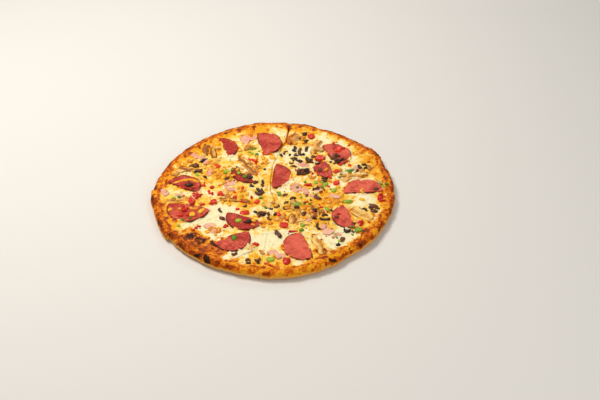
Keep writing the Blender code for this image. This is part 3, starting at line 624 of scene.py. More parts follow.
# Where the bake is browned, burnt, golden or pale, in plan.
browning = {
    # browned and burnt zones: place, reach, browning, burning
    "zones": [
        (-99, -91, 11, 0.95, 0.95), (-86, -98, 8, 0.95, 0.8), (-70, -104, 8, 0.9, 0.95), (-112, -98, 12, 0.85, 0.3),
        (-96, -110, 14, 0.8, 0.1), (-78, -116, 14, 0.85, 0.1), (-91, -124, 8, 0.95, 0.9), (-79, -130, 9, 0.95, 0.95),
        (-135, -88, 12, 0.9, 0.5), (-121, -104, 8, 0.85, 0.5), (-62, -120, 11, 0.75, 0.1), (-48, -136, 11, 0.7, 0.1),
        (2, -152, 7, 0.75, 0.45), (-18, -151, 8, 0.6, 0.1), (24, -149, 7, 0.5, 0.1), (48, -143, 8, 0.55, 0.1),
        (110, -86, 9, 0.9, 0.5), (119, -94, 9, 0.85, 0.3), (104, -104, 11, 0.8, 0.25), (92, -116, 6, 0.8, 0.7),
        (70, -137, 7, 0.9, 0.8), (60, -130, 9, 0.7, 0.2), (84, -128, 10, 0.7, 0.2), (132, -74, 10, 0.75, 0.3),
        (88, 117, 4, 0.6, 0.6), (109, 111, 5, 0.7, 0.7), (121, 92, 10, 0.65, 0.1), (138, 60, 10, 0.6, 0.1),
        (-32, 136, 6, 0.6, 0.0), (-33, 122, 4, 0.5, 0.0), (-31, 108, 4, 0.4, 0.0), (-142, -60, 10, 0.7, 0.2),
        (-150, -20, 8, 0.7, 0.2), (-128, 84, 9, 0.5, 0.1), (150, -30, 7, 0.6, 0.2), (100, 104, 8, 0.5, 0.0),
        (22, 112, 5, 0.7, 0.2), (26, 100, 5, 0.5, 0.1), (-100, -78, 5, 0.6, 0.1), (129, 64, 5, 0.6, 0.0),
        (128, -90, 5, 0.9, 0.5), (98, -121, 6, 0.85, 0.2), (48, -149, 6, 0.85, 0.1), (142, -62, 6, 0.85, 0.2),
        (118, 79, 4, 0.55, 0.0), (107, 97, 4, 0.6, 0.0), (134, 45, 4, 0.5, 0.0), (-112, 92, 5, 0.5, 0.0),
        (-97, 112, 5, 0.5, 0.0), (-130, 62, 5, 0.5, 0.0), (-60, 132, 5, 0.45, 0.0), (60, 130, 5, 0.5, 0.0),
    ],
    # golden and cream places of the cheese: place, reach, warmth
    "warmth": [
        (122, 68, 26, 0.16), (91, 123, 12, 0.18), (136, 32, 20, 0.12), (-120, 80, 28, 0.18), (-75, 125, 20, 0.16),
        (-30, 142, 20, 0.25), (30, 142, 16, 0.25), (-136, 20, 20, 0.22), (-128, -70, 20, 0.30), (-72, 28, 24, 0.26),
        (-30, 92, 12, 0.30), (-86, 92, 13, 0.25), (42, -38, 26, 0.20), (78, -22, 18, 0.32), (-15, -142, 22, 0.22),
        (60, -136, 22, 0.30), (110, -62, 16, 0.20), (-4, -66, 12, 0.25), (-18, -22, 18, 0.16), (-118, -36, 14, 0.22),
        (-46, -28, 12, 0.20), (50, -60, 18, 0.18), (-45, -20, 14, 0.15), (40, 105, 12, 0.16), (60, 18, 16, 0.14),
        (10, 128, 13, -0.30), (76, 108, 13, -0.24), (28, 72, 15, -0.20), (-75, -58, 20, -0.34),
        (-60, -42, 13, -0.22), (-18, -100, 20, -0.30), (6, -92, 15, -0.24), (80, -100, 19, -0.42),
        (90, -86, 12, -0.30), (116, -24, 12, -0.22),
        (-40, -120, 11, -0.28), (-30, 22, 13, -0.20), (16, 12, 9, -0.18), (142, -46, 9, -0.20), (98, 20, 11, -0.20),
        (46, 86, 10, -0.18), (70, 84, 9, -0.20), (-92, 66, 12, -0.12), (-62, 2, 12, -0.16), (30, -6, 12, -0.14),
        (-70, -90, 9, -0.20), (128, -58, 9, -0.15), (-108, -72, 10, -0.18), (90, 100, 11, -0.30), (66, 118, 11, -0.28),
        (-14, 26, 15, 0.16), (-24, 6, 12, 0.12), (4, 44, 8, 0.12), (112, 46, 9, -0.20), (-84, 112, 8, -0.16),
        (-46, 128, 9, -0.22), (130, 10, 9, -0.18), (-130, 52, 8, -0.18),
        (-35, -145, 7, -0.50), (30, -139, 7, -0.30), (-56, -128, 6, -0.30), (10, -146, 5, -0.25),
        (-58, 74, 8, -0.20), (-72, 46, 7, -0.20), (-130, -6, 9, -0.16), (74, 4, 8, -0.16), (20, -28, 8, -0.16),
    ],
    # browning of the bare rim by direction from the middle
    "rimTone": [
        (0, 0.54), (30, 0.66), (55, 0.68), (75, 0.60), (100, 0.58), (125, 0.62), (150, 0.62), (180, 0.60),
        (205, 0.66), (232, 0.74), (255, 0.48), (275, 0.42), (295, 0.46), (318, 0.58), (340, 0.54), (360, 0.54),
    ],
    # noise that shifts the zones, so that none is round: length of one lump, two layers, shift
    "shifts": [(9.0, (71.0, 72.0), 7.0), (3.5, (73.0, 74.0), 2.5)],
    "burnFall": 1.6,        # a burn fades faster than the brown round it
}


def bakedZones(points):
    spots = points
    for size, layers, shift in browning["shifts"]:
        spots = spots + shift * np.column_stack([noiseField(points, size, layer) for layer in layers])
    brown = np.zeros(len(points))
    burnt = np.zeros(len(points))
    for x, y, reach, toast, burn in browning["zones"]:
        fall = np.exp(-((spots[:, 0] - x) ** 2 + (spots[:, 1] - y) ** 2) / (reach * reach))
        brown = np.maximum(brown, toast * fall)
        burnt = np.maximum(burnt, burn * fall ** browning["burnFall"])
    return brown, burnt


def warmthOf(points):
    total = np.zeros(len(points))
    for x, y, reach, warmth in browning["warmth"]:
        total += warmth * np.exp(-((points[:, 0] - x) ** 2 + (points[:, 1] - y) ** 2) / (reach * reach))
    return total


def rimTone(points):
    angle = np.degrees(np.arctan2(points[:, 1], points[:, 0])) % 360.0
    angles, tones = np.transpose(browning["rimTone"])
    return np.interp(angle, angles, tones)


# The baked dough, one piece for each slice: a smooth rim section with crags and a crumb side.
crustForm = {
    "columns": 110,
    "spanSteps": 5,
    "sideSteps": 50,
    "relief": [(12.0, 0.8, 8.0), (6.0, 0.7, 2.0), (2.6, 0.3, 5.0)],    # lump length, height, layer
    "inset": 0.25,                      # the crags lie this much deeper
    "pore": (4.2, 0.35, 0.45),          # spacing, share of it that broke open, depth
    "reliefFade": (3.0, 19.0),          # the relief fades below this height, and this far in
    "lumpFade": {True: (6.0, 3.0), False: (7.0, 1.6)},    # outside and inside: height where lumps begin, span
}
crustBake = {
    "side": (5.0, 7.8), "sideWander": [(9.0, 1.6, 75.0)], "sideBake": 0.08,   # pale below, browned above
    "lineUp": (7.6, 9.4), "lineIn": (2.6, 6.5),     # the brown line along the edge: heights, how far in it fades
    "lineBake": (0.50, -0.28),                      # browning of the line, and how it changes at the front
    "lineBreaks": [(8.0, 1.6, 76.0), (3.0, 0.8, 77.0)], "lineShare": 0.6, "lineMost": 1.2,
    "sear": (5.0, 8.5),                             # heights over which the browned zones come in
    "floorBake": ((0.0, 0.5), (roundPlan["floorHeight"], 0.1)),
}


def curveThrough(stops, steps):
    # a smooth curve through the section's points, with the share of the way at each point
    stops = np.array(stops, dtype=float)
    padded = np.vstack([2 * stops[0] - stops[1], stops, 2 * stops[-1] - stops[-2]])
    curve = []
    for span in range(len(stops) - 1):
        before, here, there, beyond = padded[span:span + 4]
        for step in range(steps):
            t = step / steps
            curve.append(0.5 * (2 * here + (there - before) * t
                                + (2 * before - 5 * here + 4 * there - beyond) * t ** 2
                                + (3 * here - before - 3 * there + beyond) * t ** 3))
    curve.append(stops[-1])
    return np.array(curve)


rimCurve = curveThrough(roundPlan["rimSection"], crustForm["spanSteps"])
crestStep = int(np.argmax(rimCurve[:, 1]))


def rimRelief(points):
    # points in space; crags of the crust, deeper where pores broke open
    size, share, depth = crustForm["pore"]
    pores = np.clip(1.0 - cellField(points[:, :2], size, 11.0) / share, 0.0, 1.0)
    return layeredNoise(points, crustForm["relief"]) - crustForm["inset"] - depth * pores


def rimLift(points, height, outside):
    # the solids' own lumps and blisters, none at the underside and none on the floor
    begin, span = crustForm["lumpFade"][outside]
    lumpHeight, size = roundPlan["rimLump"]
    lumps = lumpHeight * noiseField(points, size, 0.0) + blisterSwell(points)[1]
    return np.clip((height - begin) / span, 0.0, 1.0) * lumps


def reliefAhead(inwards):
    # the relief fades out where the rim runs down to the floor
    fade, end = crustForm["reliefFade"]
    return np.clip((end - inwards) / fade, 0.0, 1.0)


def crustRow(index, shares, radius, step):
    inwards, height = rimCurve[step]
    run = rimCurve[min(step + 1, len(rimCurve) - 1)] - rimCurve[max(step - 1, 0)]
    outward = np.array([-run[1], run[0]]) / np.hypot(*run)
    outside = step < crestStep
    base = rimRow(index, shares, radius, inwards)
    space = np.column_stack([base, np.full(len(base), height)])
    relief = rimRelief(space) * np.clip(height / crustForm["reliefFade"][0], 0.0, 1.0) * reliefAhead(inwards)
    plan = rimRow(index, shares, radius, inwards + relief * outward[0])
    heights = height + relief * outward[1] + rimLift(base, height, outside)
    return plan, np.minimum(heights, roundPlan["highest"])


def crustTones(plan, heights, outside, inwards):
    form = crustBake
    brown, burnt = bakedZones(plan)
    bake = rimTone(plan)
    if outside:
        # tan below, a broken brown line along the edge, darker where the rim faces the sides
        sideway = smoothStep(*form["side"], heights + layeredNoise(plan, form["sideWander"]))
        bake = bake * sideway + form["sideBake"] * (1.0 - sideway)
        ahead = np.clip(-plan[:, 1] / np.hypot(*plan.T), 0.0, 1.0)
        line = smoothStep(*form["lineUp"], heights) * (1.0 - smoothStep(*form["lineIn"], inwards))
        broken = np.clip(form["lineShare"] + layeredNoise(plan, form["lineBreaks"]), 0.0, form["lineMost"])
        strength, change = form["lineBake"]
        bake += (strength + change * ahead) * line * broken
    sear = smoothStep(*form["sear"], heights)
    return np.maximum(bake, brown * sear), burnt * sear


def makeCrust(index):
    shares = np.linspace(0.0, 1.0, crustForm["columns"] + 1)
    radius = rimRadius(index, shares) - roundPlan["trim"]
    surface = Surface()
    rings = []
    for step in range(len(rimCurve)):
        plan, heights = crustRow(index, shares, radius, step)
        bake, burn = crustTones(plan, heights, step < crestStep, rimCurve[step][0])
        rings.append(surface.addRow(plan, heights, bake=bake, burn=burn))
    for lower, upper in zip(rings, rings[1:]):
        surface.bridge(lower, upper)
    ends = np.array([0.0, 1.0])
    rows = [innerRow(index, ends, part) for part in np.linspace(0.02, 1.0, crustForm["sideSteps"])]
    tip = rows[0].mean(axis=0)
    sides = {}
    for level, bake in crustBake["floorBake"]:
        corner = surface.addRow([tip], level, bake=bake, burn=0.0)
        starts = surface.addRow([row[0] for row in rows], level, bake=bake, burn=0.0)
        finals = surface.addRow([row[1] for row in rows], level, bake=bake, burn=0.0)
        sides[level] = (corner + starts, corner + finals)
    lowStart, lowEnd = sides[0.0]
    highStart, highEnd = sides[roundPlan["floorHeight"]]
    surface.faces.append(tuple(lowEnd + rings[0][::-1] + lowStart[:0:-1]))
    surface.faces.append(tuple(highStart + rings[-1] + highEnd[:0:-1]))
    surface.bridge(lowStart, highStart)
    surface.bridge(lowEnd, highEnd)
    surface.faces.append(tuple([lowStart[-1]] + [ring[0] for ring in rings] + [highStart[-1]]))
    surface.faces.append(tuple([highEnd[-1]] + [ring[-1] for ring in rings[::-1]] + [lowEnd[-1]]))
    piece = makePiece(f"crustSlice{index + 1}", surface, "dough", 50.0)
    dress(piece, [f"crust_slice_{index + 1}"])


# The melted cheese, one piece for each slice, pressed down under the toppings and drawn up
# a little at their edges.
cheeseForm = {
    "columns": 150, "innerRows": 140, "rimRows": 18, "tip": 0.012,
    "edge": 8.6, "edgeWaves": [(9.0, 3.2, 61.0), (3.2, 1.6, 62.0)], "edgeLeast": 4.5,    # from the outline
    "edgeRise": (1.5, 0.1),            # the layer thickens over this distance, from this share
    "edgeDip": (0.25, 1.2),            # depth and reach of the dip along its edge
    "sunk": 0.4,                       # the underside lies this deep in the dough
    "fullDepth": 3.0,                  # a thinner layer has less relief
    "relief": [(9.0, 0.8, 21.0), (4.2, 0.5, 22.0), (2.0, 0.2, 23.0)],
    "bubble": (12.0, 0.26, 0.9),       # spacing, share of it that bulges, height
    "meniscus": (2.2, 0.75),           # reach and height of the cheese drawn up at a topping
    "creep": (0.5, [(5.0, 0.8, 41.0)]),
    "cutMeniscus": (1.4, 0.45),
    "underTopping": 10.05,
    # cheese that laps over a topping's edge: its waves, where they count, height, reach inside and outside
    "lapWaves": [(15.0, 1.0, 42.0), (5.0, 0.5, 43.0)], "lapBand": (0.02, 0.3),
    "lapHeight": 13.1, "lapInside": 4.2, "lapOutside": 2.2, "lapMost": 2.0, "lapFall": 3.0,
    "lip": (0.6, 0.45, 0.9),           # rounding at the cuts: reach, drop, drop at the far cut
    "farCut": 1,
}


def cheeseHeights(index, plan, base, depth, shares):
    form = cheeseForm
    full = np.minimum(depth / form["fullDepth"], 1.0)
    lumpHeight, size = roundPlan["cheeseLump"]
    relief = lumpHeight * noiseField(plan, size, 7.0) + layeredNoise(plan, form["relief"])
    spacing, share, height = form["bubble"]
    relief += height * np.clip(1.0 - (cellField(plan, spacing, 31.0) / share) ** 2, 0.0, 1.0)
    toTopping = distanceTo(toppingTree, plan, 8.0)
    reach, height = form["meniscus"]
    level, waves = form["creep"]
    relief += height * (level + layeredNoise(plan, waves)) * np.exp(-(toTopping / reach) ** 2)
    reach, height = form["cutMeniscus"]
    relief += height * np.exp(-(distanceTo(cutTree, plan, 5.0) / reach) ** 2)
    heights = base + depth + full * relief
    begin, span = form["lapBand"]
    lap = np.clip((layeredNoise(plan, form["lapWaves"]) - begin) / span, 0.0, 1.0)
    nearby = np.exp(-(toTopping / form["lapOutside"]) ** 2)
    heights += np.clip(form["lapHeight"] - heights, 0.0, form["lapMost"]) * lap * full * nearby
    # under a topping the cheese is pressed flat, but for the lap along the edge
    under = toTopping < 0.05
    toRing = np.array([toppingEdges.find((x, y, 0.0))[2] if hidden else 0.0
                       for (x, y), hidden in zip(plan, under)])
    cover = form["lapHeight"] - form["lapFall"] * (toRing / (form["lapInside"] * lap + 0.05)) ** 2
    heights = np.where(under, np.maximum(np.minimum(heights, form["underTopping"]), cover), heights)
    width = np.hypot(*(plan[-1] - plan[0]))
    reach, drop, farDrop = form["lip"]
    for side, toEdge in enumerate((shares * width, (1.0 - shares) * width)):
        deep = farDrop if (index + side) % sliceCount == form["farCut"] else drop
        heights -= full * deep * np.exp(-(toEdge / reach) ** 2)
    return np.minimum(heights, roundPlan["highest"]), toTopping


# Attributes of the cheese: how warm its cream is, and how browned, with painted shade along the toppings and the far
# cut.
cheeseBake = {
    "nearRim": (10.0, 36.0), "atRim": (7.0, 22.0),           # distances over which both zones fade inwards
    "warmth": (0.07, 0.28), "behind": (0.55, 0.004, 0.2),    # all over and near the rim, less at the front
    "rimToast": (0.34, 0.35), "rimStir": (0.30, 0.1, [(10.0, 1.0, 52.0), (4.0, 0.6, 55.0)]),
    "highToast": (0.10, 11.4),
    "spots": (6.5, 53.0), "spotBand": (0.14, 0.38), "spotToast": (0.50, 0.5, 1.4),
    "paler": 0.9,                                            # cream places are browned less
    # painted shade along the far cut, standing in for the shadowed gap between the slices: strength, width, and where
    # along the cut it begins
    "farCutToast": (0.55, 2.6), "farCutFrom": (70.0, 110.0),
    # browning of the cheese along the toppings: partly oil that browns there, partly painted shade where each topping
    # meets the cheese
    "edgeToast": (0.42, 1.9), "edgeStir": (0.4, [(6.0, 1.4, 54.0)]),    # along the toppings
}


def cheeseTones(plan, heights, toTopping, inwards):
    form = cheeseBake
    brown, burnt = bakedZones(plan)
    placed = warmthOf(plan)
    nearRim = 1.0 - smoothStep(*form["nearRim"], inwards)
    atRim = 1.0 - smoothStep(*form["atRim"], inwards)
    middle, slope, least = form["behind"]
    allOver, added = form["warmth"]
    warmth = allOver + placed + added * nearRim * np.clip(middle + slope * plan[:, 1], least, 1.0)
    level, share = form["rimToast"]
    toast = np.maximum((level + share * rimTone(plan)) * atRim, brown)
    strength, level, waves = form["rimStir"]
    toast += strength * nearRim * (level + layeredNoise(plan, waves))
    strength, level = form["highToast"]
    toast += strength * np.clip(heights - level, 0.0, 1.0)
    strength, level, share = form["spotToast"]
    spots = smoothStep(*form["spotBand"], noiseField(plan, *form["spots"]))
    toast += strength * spots * np.clip(level + share * warmth, 0.0, 1.0)
    toast += form["paler"] * np.minimum(placed, 0.0)
    # painted shade of the far cut's gap, laid on the cheese beside the cut
    offset = plan - roundPlan["cutMeet"]
    reach = np.hypot(*offset.T)
    aside = reach * np.sin(np.arctan2(offset[:, 1], offset[:, 0]) - cutDirection(cheeseForm["farCut"], reach))
    strength, width = form["farCutToast"]
    toast += strength * np.exp(-(aside / width) ** 2) * smoothStep(*form["farCutFrom"], plan[:, 1])
    # painted shade and oil browning in the cheese round each topping
    strength, width = form["edgeToast"]
    level, waves = form["edgeStir"]
    oilAndShadeNearTopping = np.exp(-(toTopping / width) ** 2)
    toast += strength * oilAndShadeNearTopping * np.clip(level + layeredNoise(plan, waves), 0.0, 1.0)
    return warmth, toast, burnt


def makeCheesePiece(index):
    form = cheeseForm
    shares = np.linspace(0.0, 1.0, form["columns"] + 1)
    radius = rimRadius(index, shares) - roundPlan["trim"]
    depthAt, depths = np.transpose(roundPlan["cheeseDepth"])
    slopeIn, slopeUp = rimCurve[crestStep:].T
    surface = Surface()
    tops, bottoms = [], []

    def layRow(plan, inwards, floor, depth):
        heights, toTopping = cheeseHeights(index, plan, floor, depth, shares)
        warmth, toast, burn = cheeseTones(plan, heights, toTopping, inwards)
        tops.append(surface.addRow(plan, heights, warmth=warmth, toast=toast, burn=burn))
        bottoms.append((plan, floor - form["sunk"]))

    for part in np.linspace(form["tip"], 1.0, form["innerRows"]):
        plan = innerRow(index, shares, part)
        inwards = radius - np.hypot(*plan.T)
        layRow(plan, inwards, np.full(len(plan), roundPlan["floorHeight"]), np.interp(inwards, depthAt, depths))
    start = inwards
    outer = rimRow(index, shares, radius, form["edge"])
    edges = np.maximum(form["edge"] + layeredNoise(outer, form["edgeWaves"]), form["edgeLeast"])
    rise, least = form["edgeRise"]
    dip, reach = form["edgeDip"]
    for step in range(1, form["rimRows"] + 1):
        inwards = start + (edges - start) * step / form["rimRows"]
        plan = rimRow(index, shares, radius, inwards)
        height = np.interp(inwards, slopeIn, slopeUp)
        floor = height + rimRelief(np.column_stack([plan, height])) * reliefAhead(inwards)
        floor += rimLift(plan, height, False)
        depth = np.interp(inwards, depthAt, depths) * np.clip((inwards - edges) / rise + least, 0.0, 1.0)
        depth -= dip * (1.0 - smoothStep(0.0, reach, inwards - edges))
        layRow(plan, inwards, floor, depth)
    for inner, outer in zip(tops, tops[1:]):
        surface.bridge(inner, outer)
    # the underside lies in the dough's surface, so that no gap shows
    flats = [surface.addRow(plan[[0, -1]], floor[[0, -1]], warmth=0.0, toast=0.0, burn=0.0)
             for plan, floor in bottoms[:form["innerRows"]]]
    lowRings = [surface.addRow(plan, floor, warmth=0.0, toast=0.2, burn=0.0)
                for plan, floor in bottoms[form["innerRows"]:]]
    lowFirst, lowLast = ([row[side] for row in flats] for side in (0, 1))
    surface.faces.append(tuple(lowFirst + lowRings[0] + lowLast[::-1]))
    for inner, outer in zip(lowRings, lowRings[1:]):
        surface.bridge(inner, outer)
    surface.bridge(tops[-1], lowRings[-1])
    surface.bridge(lowFirst + [ring[0] for ring in lowRings], [row[0] for row in tops])
    surface.bridge(lowLast + [ring[-1] for ring in lowRings], [row[-1] for row in tops])
    surface.faces.append(tuple(tops[0] + [lowLast[0], lowFirst[0]]))
    dress(makePiece(f"cheeseSlice{index + 1}", surface, "cheese", 70.0), [f"cheese_slice_{index + 1}"])


for index in range(sliceCount):
    makeCrust(index)
print("crust made")
for index in range(sliceCount):
    makeCheesePiece(index)
print("cheese made")


# Slab toppings: a rounded rim of points round the outline, closed over the middle.
pepperForm = {"thickness": 3.9, "dome": 0.2, "roll": 1.1, "curl": 0.0, "wrinkle": 0.9, "size": 6.0,
              "ragged": 0.14, "square": 0.08}
slabForms = {
    "salami": {"thickness": 2.2, "dome": 0.2, "roll": 0.6, "curl": 1.7, "wrinkle": 0.55, "size": 10.0,
               "ragged": 0.035, "square": 0.0},
    "ham": {"thickness": 1.8, "dome": 0.1, "roll": 0.6, "curl": 0.8, "wrinkle": 0.8, "size": 6.0,
            "ragged": 0.07, "square": 0.06},
    "red_pepper": pepperForm, "green_pepper": pepperForm,
}
slabGrid = {"around": 96, "rings": 14, "sideRows": 5}
slabRim = {
    "ragged": [(1.6, 1.0, 0.0), (4.5, 0.5, 9.0)], "inset": 0.3,    # waves round the outline: number, weight, shift
    "lean": (0.35, 1.3),            # how much of the outline curls up
    "chordFade": (1.5, 4.5),        # the straight cut side of a slice has no rind
    "rindBand": (0.80, 1.0), "rindLeast": 0.35,
    "foot": (0.25, 0.3),            # the foot lies this far in, the widest place at this share of the height
}
# how much deeper or paler than its kind a single piece is
pieceDepth = {
    "salami_1": 0.02, "salami_2": 0.12, "salami_3": 0.06, "salami_4": -0.08, "salami_6": 0.05, "salami_7": 0.38,
    "salami_8": 0.10, "salami_10": 0.14, "salami_11": 0.04, "salami_12": -0.10, "salami_13": -0.04,
    "mushroom_1": 0.24, "mushroom_2": 0.08, "mushroom_3": 0.14, "mushroom_4": 0.12, "mushroom_5": -0.04,
    "mushroom_6": 0.08, "mushroom_7": -0.04, "mushroom_8": 0.22, "mushroom_9": 0.02, "mushroom_10": -0.18,
    "mushroom_11": 0.04, "mushroom_13": -0.12, "ham_3": -0.14, "ham_6": -0.18, "ham_7": -0.14, "ham_9": -0.14,
}


def slabWall(roll, thickness):
    # profile of the side: distance inwards and height, from the foot up to the flat
    steps = slabGrid["sideRows"]
    inset, widest = slabRim["foot"]
    wall = [(inset, 0.0), (0.0, widest * thickness)]
    for step in range(steps):
        angle = 0.5 * math.pi * step / (steps - 1)
        wall.append((roll * (1.0 - math.cos(angle)), thickness - roll * (1.0 - math.sin(angle))))
    return wall


def ringNoise(angle, waves, seed):
    # noise that closes on itself round a ring
    return np.array([noise.noise((math.cos(a) * waves, math.sin(a) * waves, seed)) for a in angle])


def makeSlab(node, kind, number):
    form = slabForms[kind]
    rim = slabRim
    outline = feet[node]
    middle = outline.mean(axis=0)
    outline = middle + (outline - middle) / carried["footShare"]
    outline = densely(cornersCut(outline, 2 if len(outline) > 8 else 1), slabGrid["around"])
    spread = outline - middle
    angle = np.arctan2(spread[:, 1], spread[:, 0])
    ragged = sum(weight * ringNoise(angle, waves, number * 3.7 + shift) for waves, weight, shift in rim["ragged"])
    corners = form["square"] * np.cos(4.0 * (angle - number))
    outline = middle + spread * (1.0 + form["ragged"] * (ragged - rim["inset"]) - corners)[:, None]
    reach = np.hypot(*(outline - middle).T)
    level, share = rim["lean"]
    curl = form["curl"] * np.clip(level + share * ringNoise(angle, 1.0, number * 5.1 + 70.0), 0.0, 1.0)
    apart = np.hypot(*(outline[:, None] - outline[None]).transpose(2, 0, 1))
    first, last = np.unravel_index(apart.argmax(), apart.shape)
    chord = (outline[last] - outline[first]) / apart.max()
    offChord = np.abs((outline - outline[first]) @ np.array([-chord[1], chord[0]]))
    rind = rim["rindLeast"] + (1.0 - rim["rindLeast"]) * smoothStep(*rim["chordFade"], offChord)
    wrinkles = [(form["size"], 1.0, number * 2.3 + 80.0), (form["size"] / 2.6, 0.4, number * 2.3 + 90.0)]
    surface = Surface()
    rows = []

    def layRing(inwards, rise, share):
        plan = middle + (outline - middle) * (1.0 - inwards / reach)[:, None] * share
        outness = np.hypot(*(plan - middle).T) / reach
        swell = form["wrinkle"] * layeredNoise(plan, wrinkles) + form["dome"] * (1.0 - outness ** 2)
        heights = carried["seat"] + rise + curl * outness ** 4 + min(rise / form["thickness"], 1.0) * swell
        rows.append(surface.addRow(plan, np.minimum(heights, roundPlan["highest"]), shade=0.5,
                                   edge=smoothStep(*rim["rindBand"], outness) * rind,
                                   depth=pieceDepth.get(node, 0.0)))

    for inwards, rise in slabWall(form["roll"], form["thickness"]):
        layRing(inwards, rise, 1.0)
    for ring in range(1, slabGrid["rings"]):
        layRing(form["roll"], form["thickness"], 1.0 - ring / slabGrid["rings"])
    for lower, upper in zip(rows, rows[1:]):
        surface.bridge(lower + lower[:1], upper + upper[:1])
    surface.faces += [tuple(rows[0]), tuple(rows[-1])]
    dress(makePiece(f"{kind.replace('_p', 'P')}{number}", surface, kind), [node])


# Browned strips, with grooves along them and a ragged outline.
stripForm = {
    "thickness": 2.6, "along": 70, "across": 24, "arch": 0.3,
    "grooves": 3.2, "grooveDepth": 0.55, "sway": (12.0, 2.2),      # the grooves sway: length, strength
    "ragged": 0.22, "inset": 0.4, "jags": [(5.5, 1.0, 0.0), (2.4, 0.6, 5.0)],    # length, weight, shift
    "drift": (5.0, 0.6, 0.35),                                     # length, height, share in the groove's tone
    "buckle": (11.0, 0.8),                                         # length, height
    "tip": (0.3, 5.0), "endBand": (0.0, 0.10), "sideBand": (0.45, 1.0),
    "footDrop": 0.1,
}


def spanAcross(outline, along):
    # lowest and highest offset of an outline, given in its own axes, at one distance along it
    ring = np.vstack([outline, outline[:1]])
    hits = []
    for (x0, y0), (x1, y1) in zip(ring[:-1], ring[1:]):
        if (x0 - along) * (x1 - along) <= 0.0 and x0 != x1:
            hits.append(y0 + (along - x0) / (x1 - x0) * (y1 - y0))
    return (min(hits), max(hits)) if hits else (0.0, 0.0)


def makeStrip(node, number):
    form = stripForm
    middle, direction, *_ = longAxis(feet[node])
    across = np.array([-direction[1], direction[0]])
    local = (cornersCut(feet[node], 1) - middle) @ np.column_stack([direction, across])
    low, high = local[:, 0].min(), local[:, 0].max()
    surface = Surface()
    topRows, footRows = [], []
    sides = np.linspace(-1.0, 1.0, form["across"] + 1)
    spread = np.sin(sides * math.pi / 2)
    body = np.sqrt(np.clip(1.0 - np.abs(spread) ** 5, 0.0, 1.0))
    driftSize, driftHeight, driftShare = form["drift"]
    for step in range(form["along"] + 1):
        share = step / form["along"]
        toEnd = min(share, 1.0 - share)
        # rows lie closer together at the ends
        along = low + (high - low) * (0.5 - 0.5 * math.cos(math.pi * (0.04 + 0.92 * share)))
        edges = []
        for side, edge in enumerate(spanAcross(local, along), 1):
            jag = sum(weight * noise.noise((along / size, number * 3.0, side + shift))
                      for size, weight, shift in form["jags"])
            edges.append(edge * (1.0 + form["ragged"] * (jag - form["inset"])))
        right, left = edges
        offsets = (left + right) / 2.0 + (left - right) / 2.0 * spread
        plan = middle + along * direction + offsets[:, None] * across
        least, slope = form["tip"]
        tip = min(1.0, least + slope * toEnd)
        size, strength = form["sway"]
        sway = strength * noise.noise((along / size, number, 5.0)) + number
        drift = noiseField(plan, driftSize, number + 100.0)
        # the groove value sets the depth of the grooves and the painted shade in them
        groove = 0.5 - 0.5 * np.sin(sides * math.pi * form["grooves"] / 2 + sway) + driftShare * drift
        size, height = form["buckle"]
        buckle = height * noise.noise((along / size, number * 1.7, 9.0))
        swell = driftHeight * drift + buckle - form["grooveDepth"] * groove
        heights = carried["seat"] + tip * body * (form["thickness"] * (1.0 - form["arch"] * sides ** 2) + swell)
        edge = np.maximum(smoothStep(*form["sideBand"], np.abs(sides)), 1.0 - smoothStep(*form["endBand"], toEnd))
        shared = {"along": along, "kind": number * 3.1, "depth": pieceDepth.get(node, 0.0)}
        topRows.append(surface.addRow(plan, heights, groove=groove, edge=edge, across=offsets, **shared))
        footRows.append(surface.addRow(plan[[0, -1]], carried["seat"] - form["footDrop"], groove=1.0, edge=1.0,
                                       across=offsets[[0, -1]], **shared))
    for here, there in zip(topRows, topRows[1:]):
        surface.bridge(here, there)
    rights, lefts = ([row[side] for row in footRows] for side in (0, 1))
    surface.bridge(rights, [row[0] for row in topRows])
    surface.bridge(lefts, [row[-1] for row in topRows])
    surface.bridge(rights, lefts)
    for end in (0, -1):
        surface.faces.append(tuple(topRows[end] + footRows[end][::-1]))
    dress(makePiece(f"mushroom{number}", surface, "mushroom"), [node])


for node in toppingNodes:
    kind, number = node.rsplit("_", 1)
    if kind in slabForms:
        makeSlab(node, kind, int(number))
    elif kind == "mushroom":
        makeStrip(node, int(number))
print("large toppings made")


# Shapes of the small cuts, one unit long and wide, standing one unit high on their foot.
def shapeOf(shell, name):
    mesh = bpy.data.meshes.new(name)
    shell.to_mesh(mesh)
    shell.free()
    mesh.shade_smooth()
    return bpy.data.objects.new(name, mesh)


def blockShape(name, squareness, rough, seed, taper=0.0, cells=3):
    shell = bmesh.new()
    bmesh.ops.create_cube(shell, size=2.0)
    bmesh.ops.subdivide_edges(shell, edges=shell.edges, cuts=cells - 1, use_grid_fill=True)
    for vertex in shell.verts:
        x, y, z = vertex.co
        reach = (abs(x) ** squareness + abs(y) ** squareness + abs(z) ** squareness) ** (-1.0 / squareness)
        push = 1.0 + rough * noise.noise((x * 1.3 + seed * 9.0, y * 1.3, z * 1.3))
        x, y, z = x * reach * push, y * reach * push, z * reach * push
        narrow = 1.0 - taper * (x + 1.0) / 2.0
        vertex.co = (x / 2.0, y * narrow / 2.0, (z + 1.0) / 2.0)
    return shapeOf(shell, name)


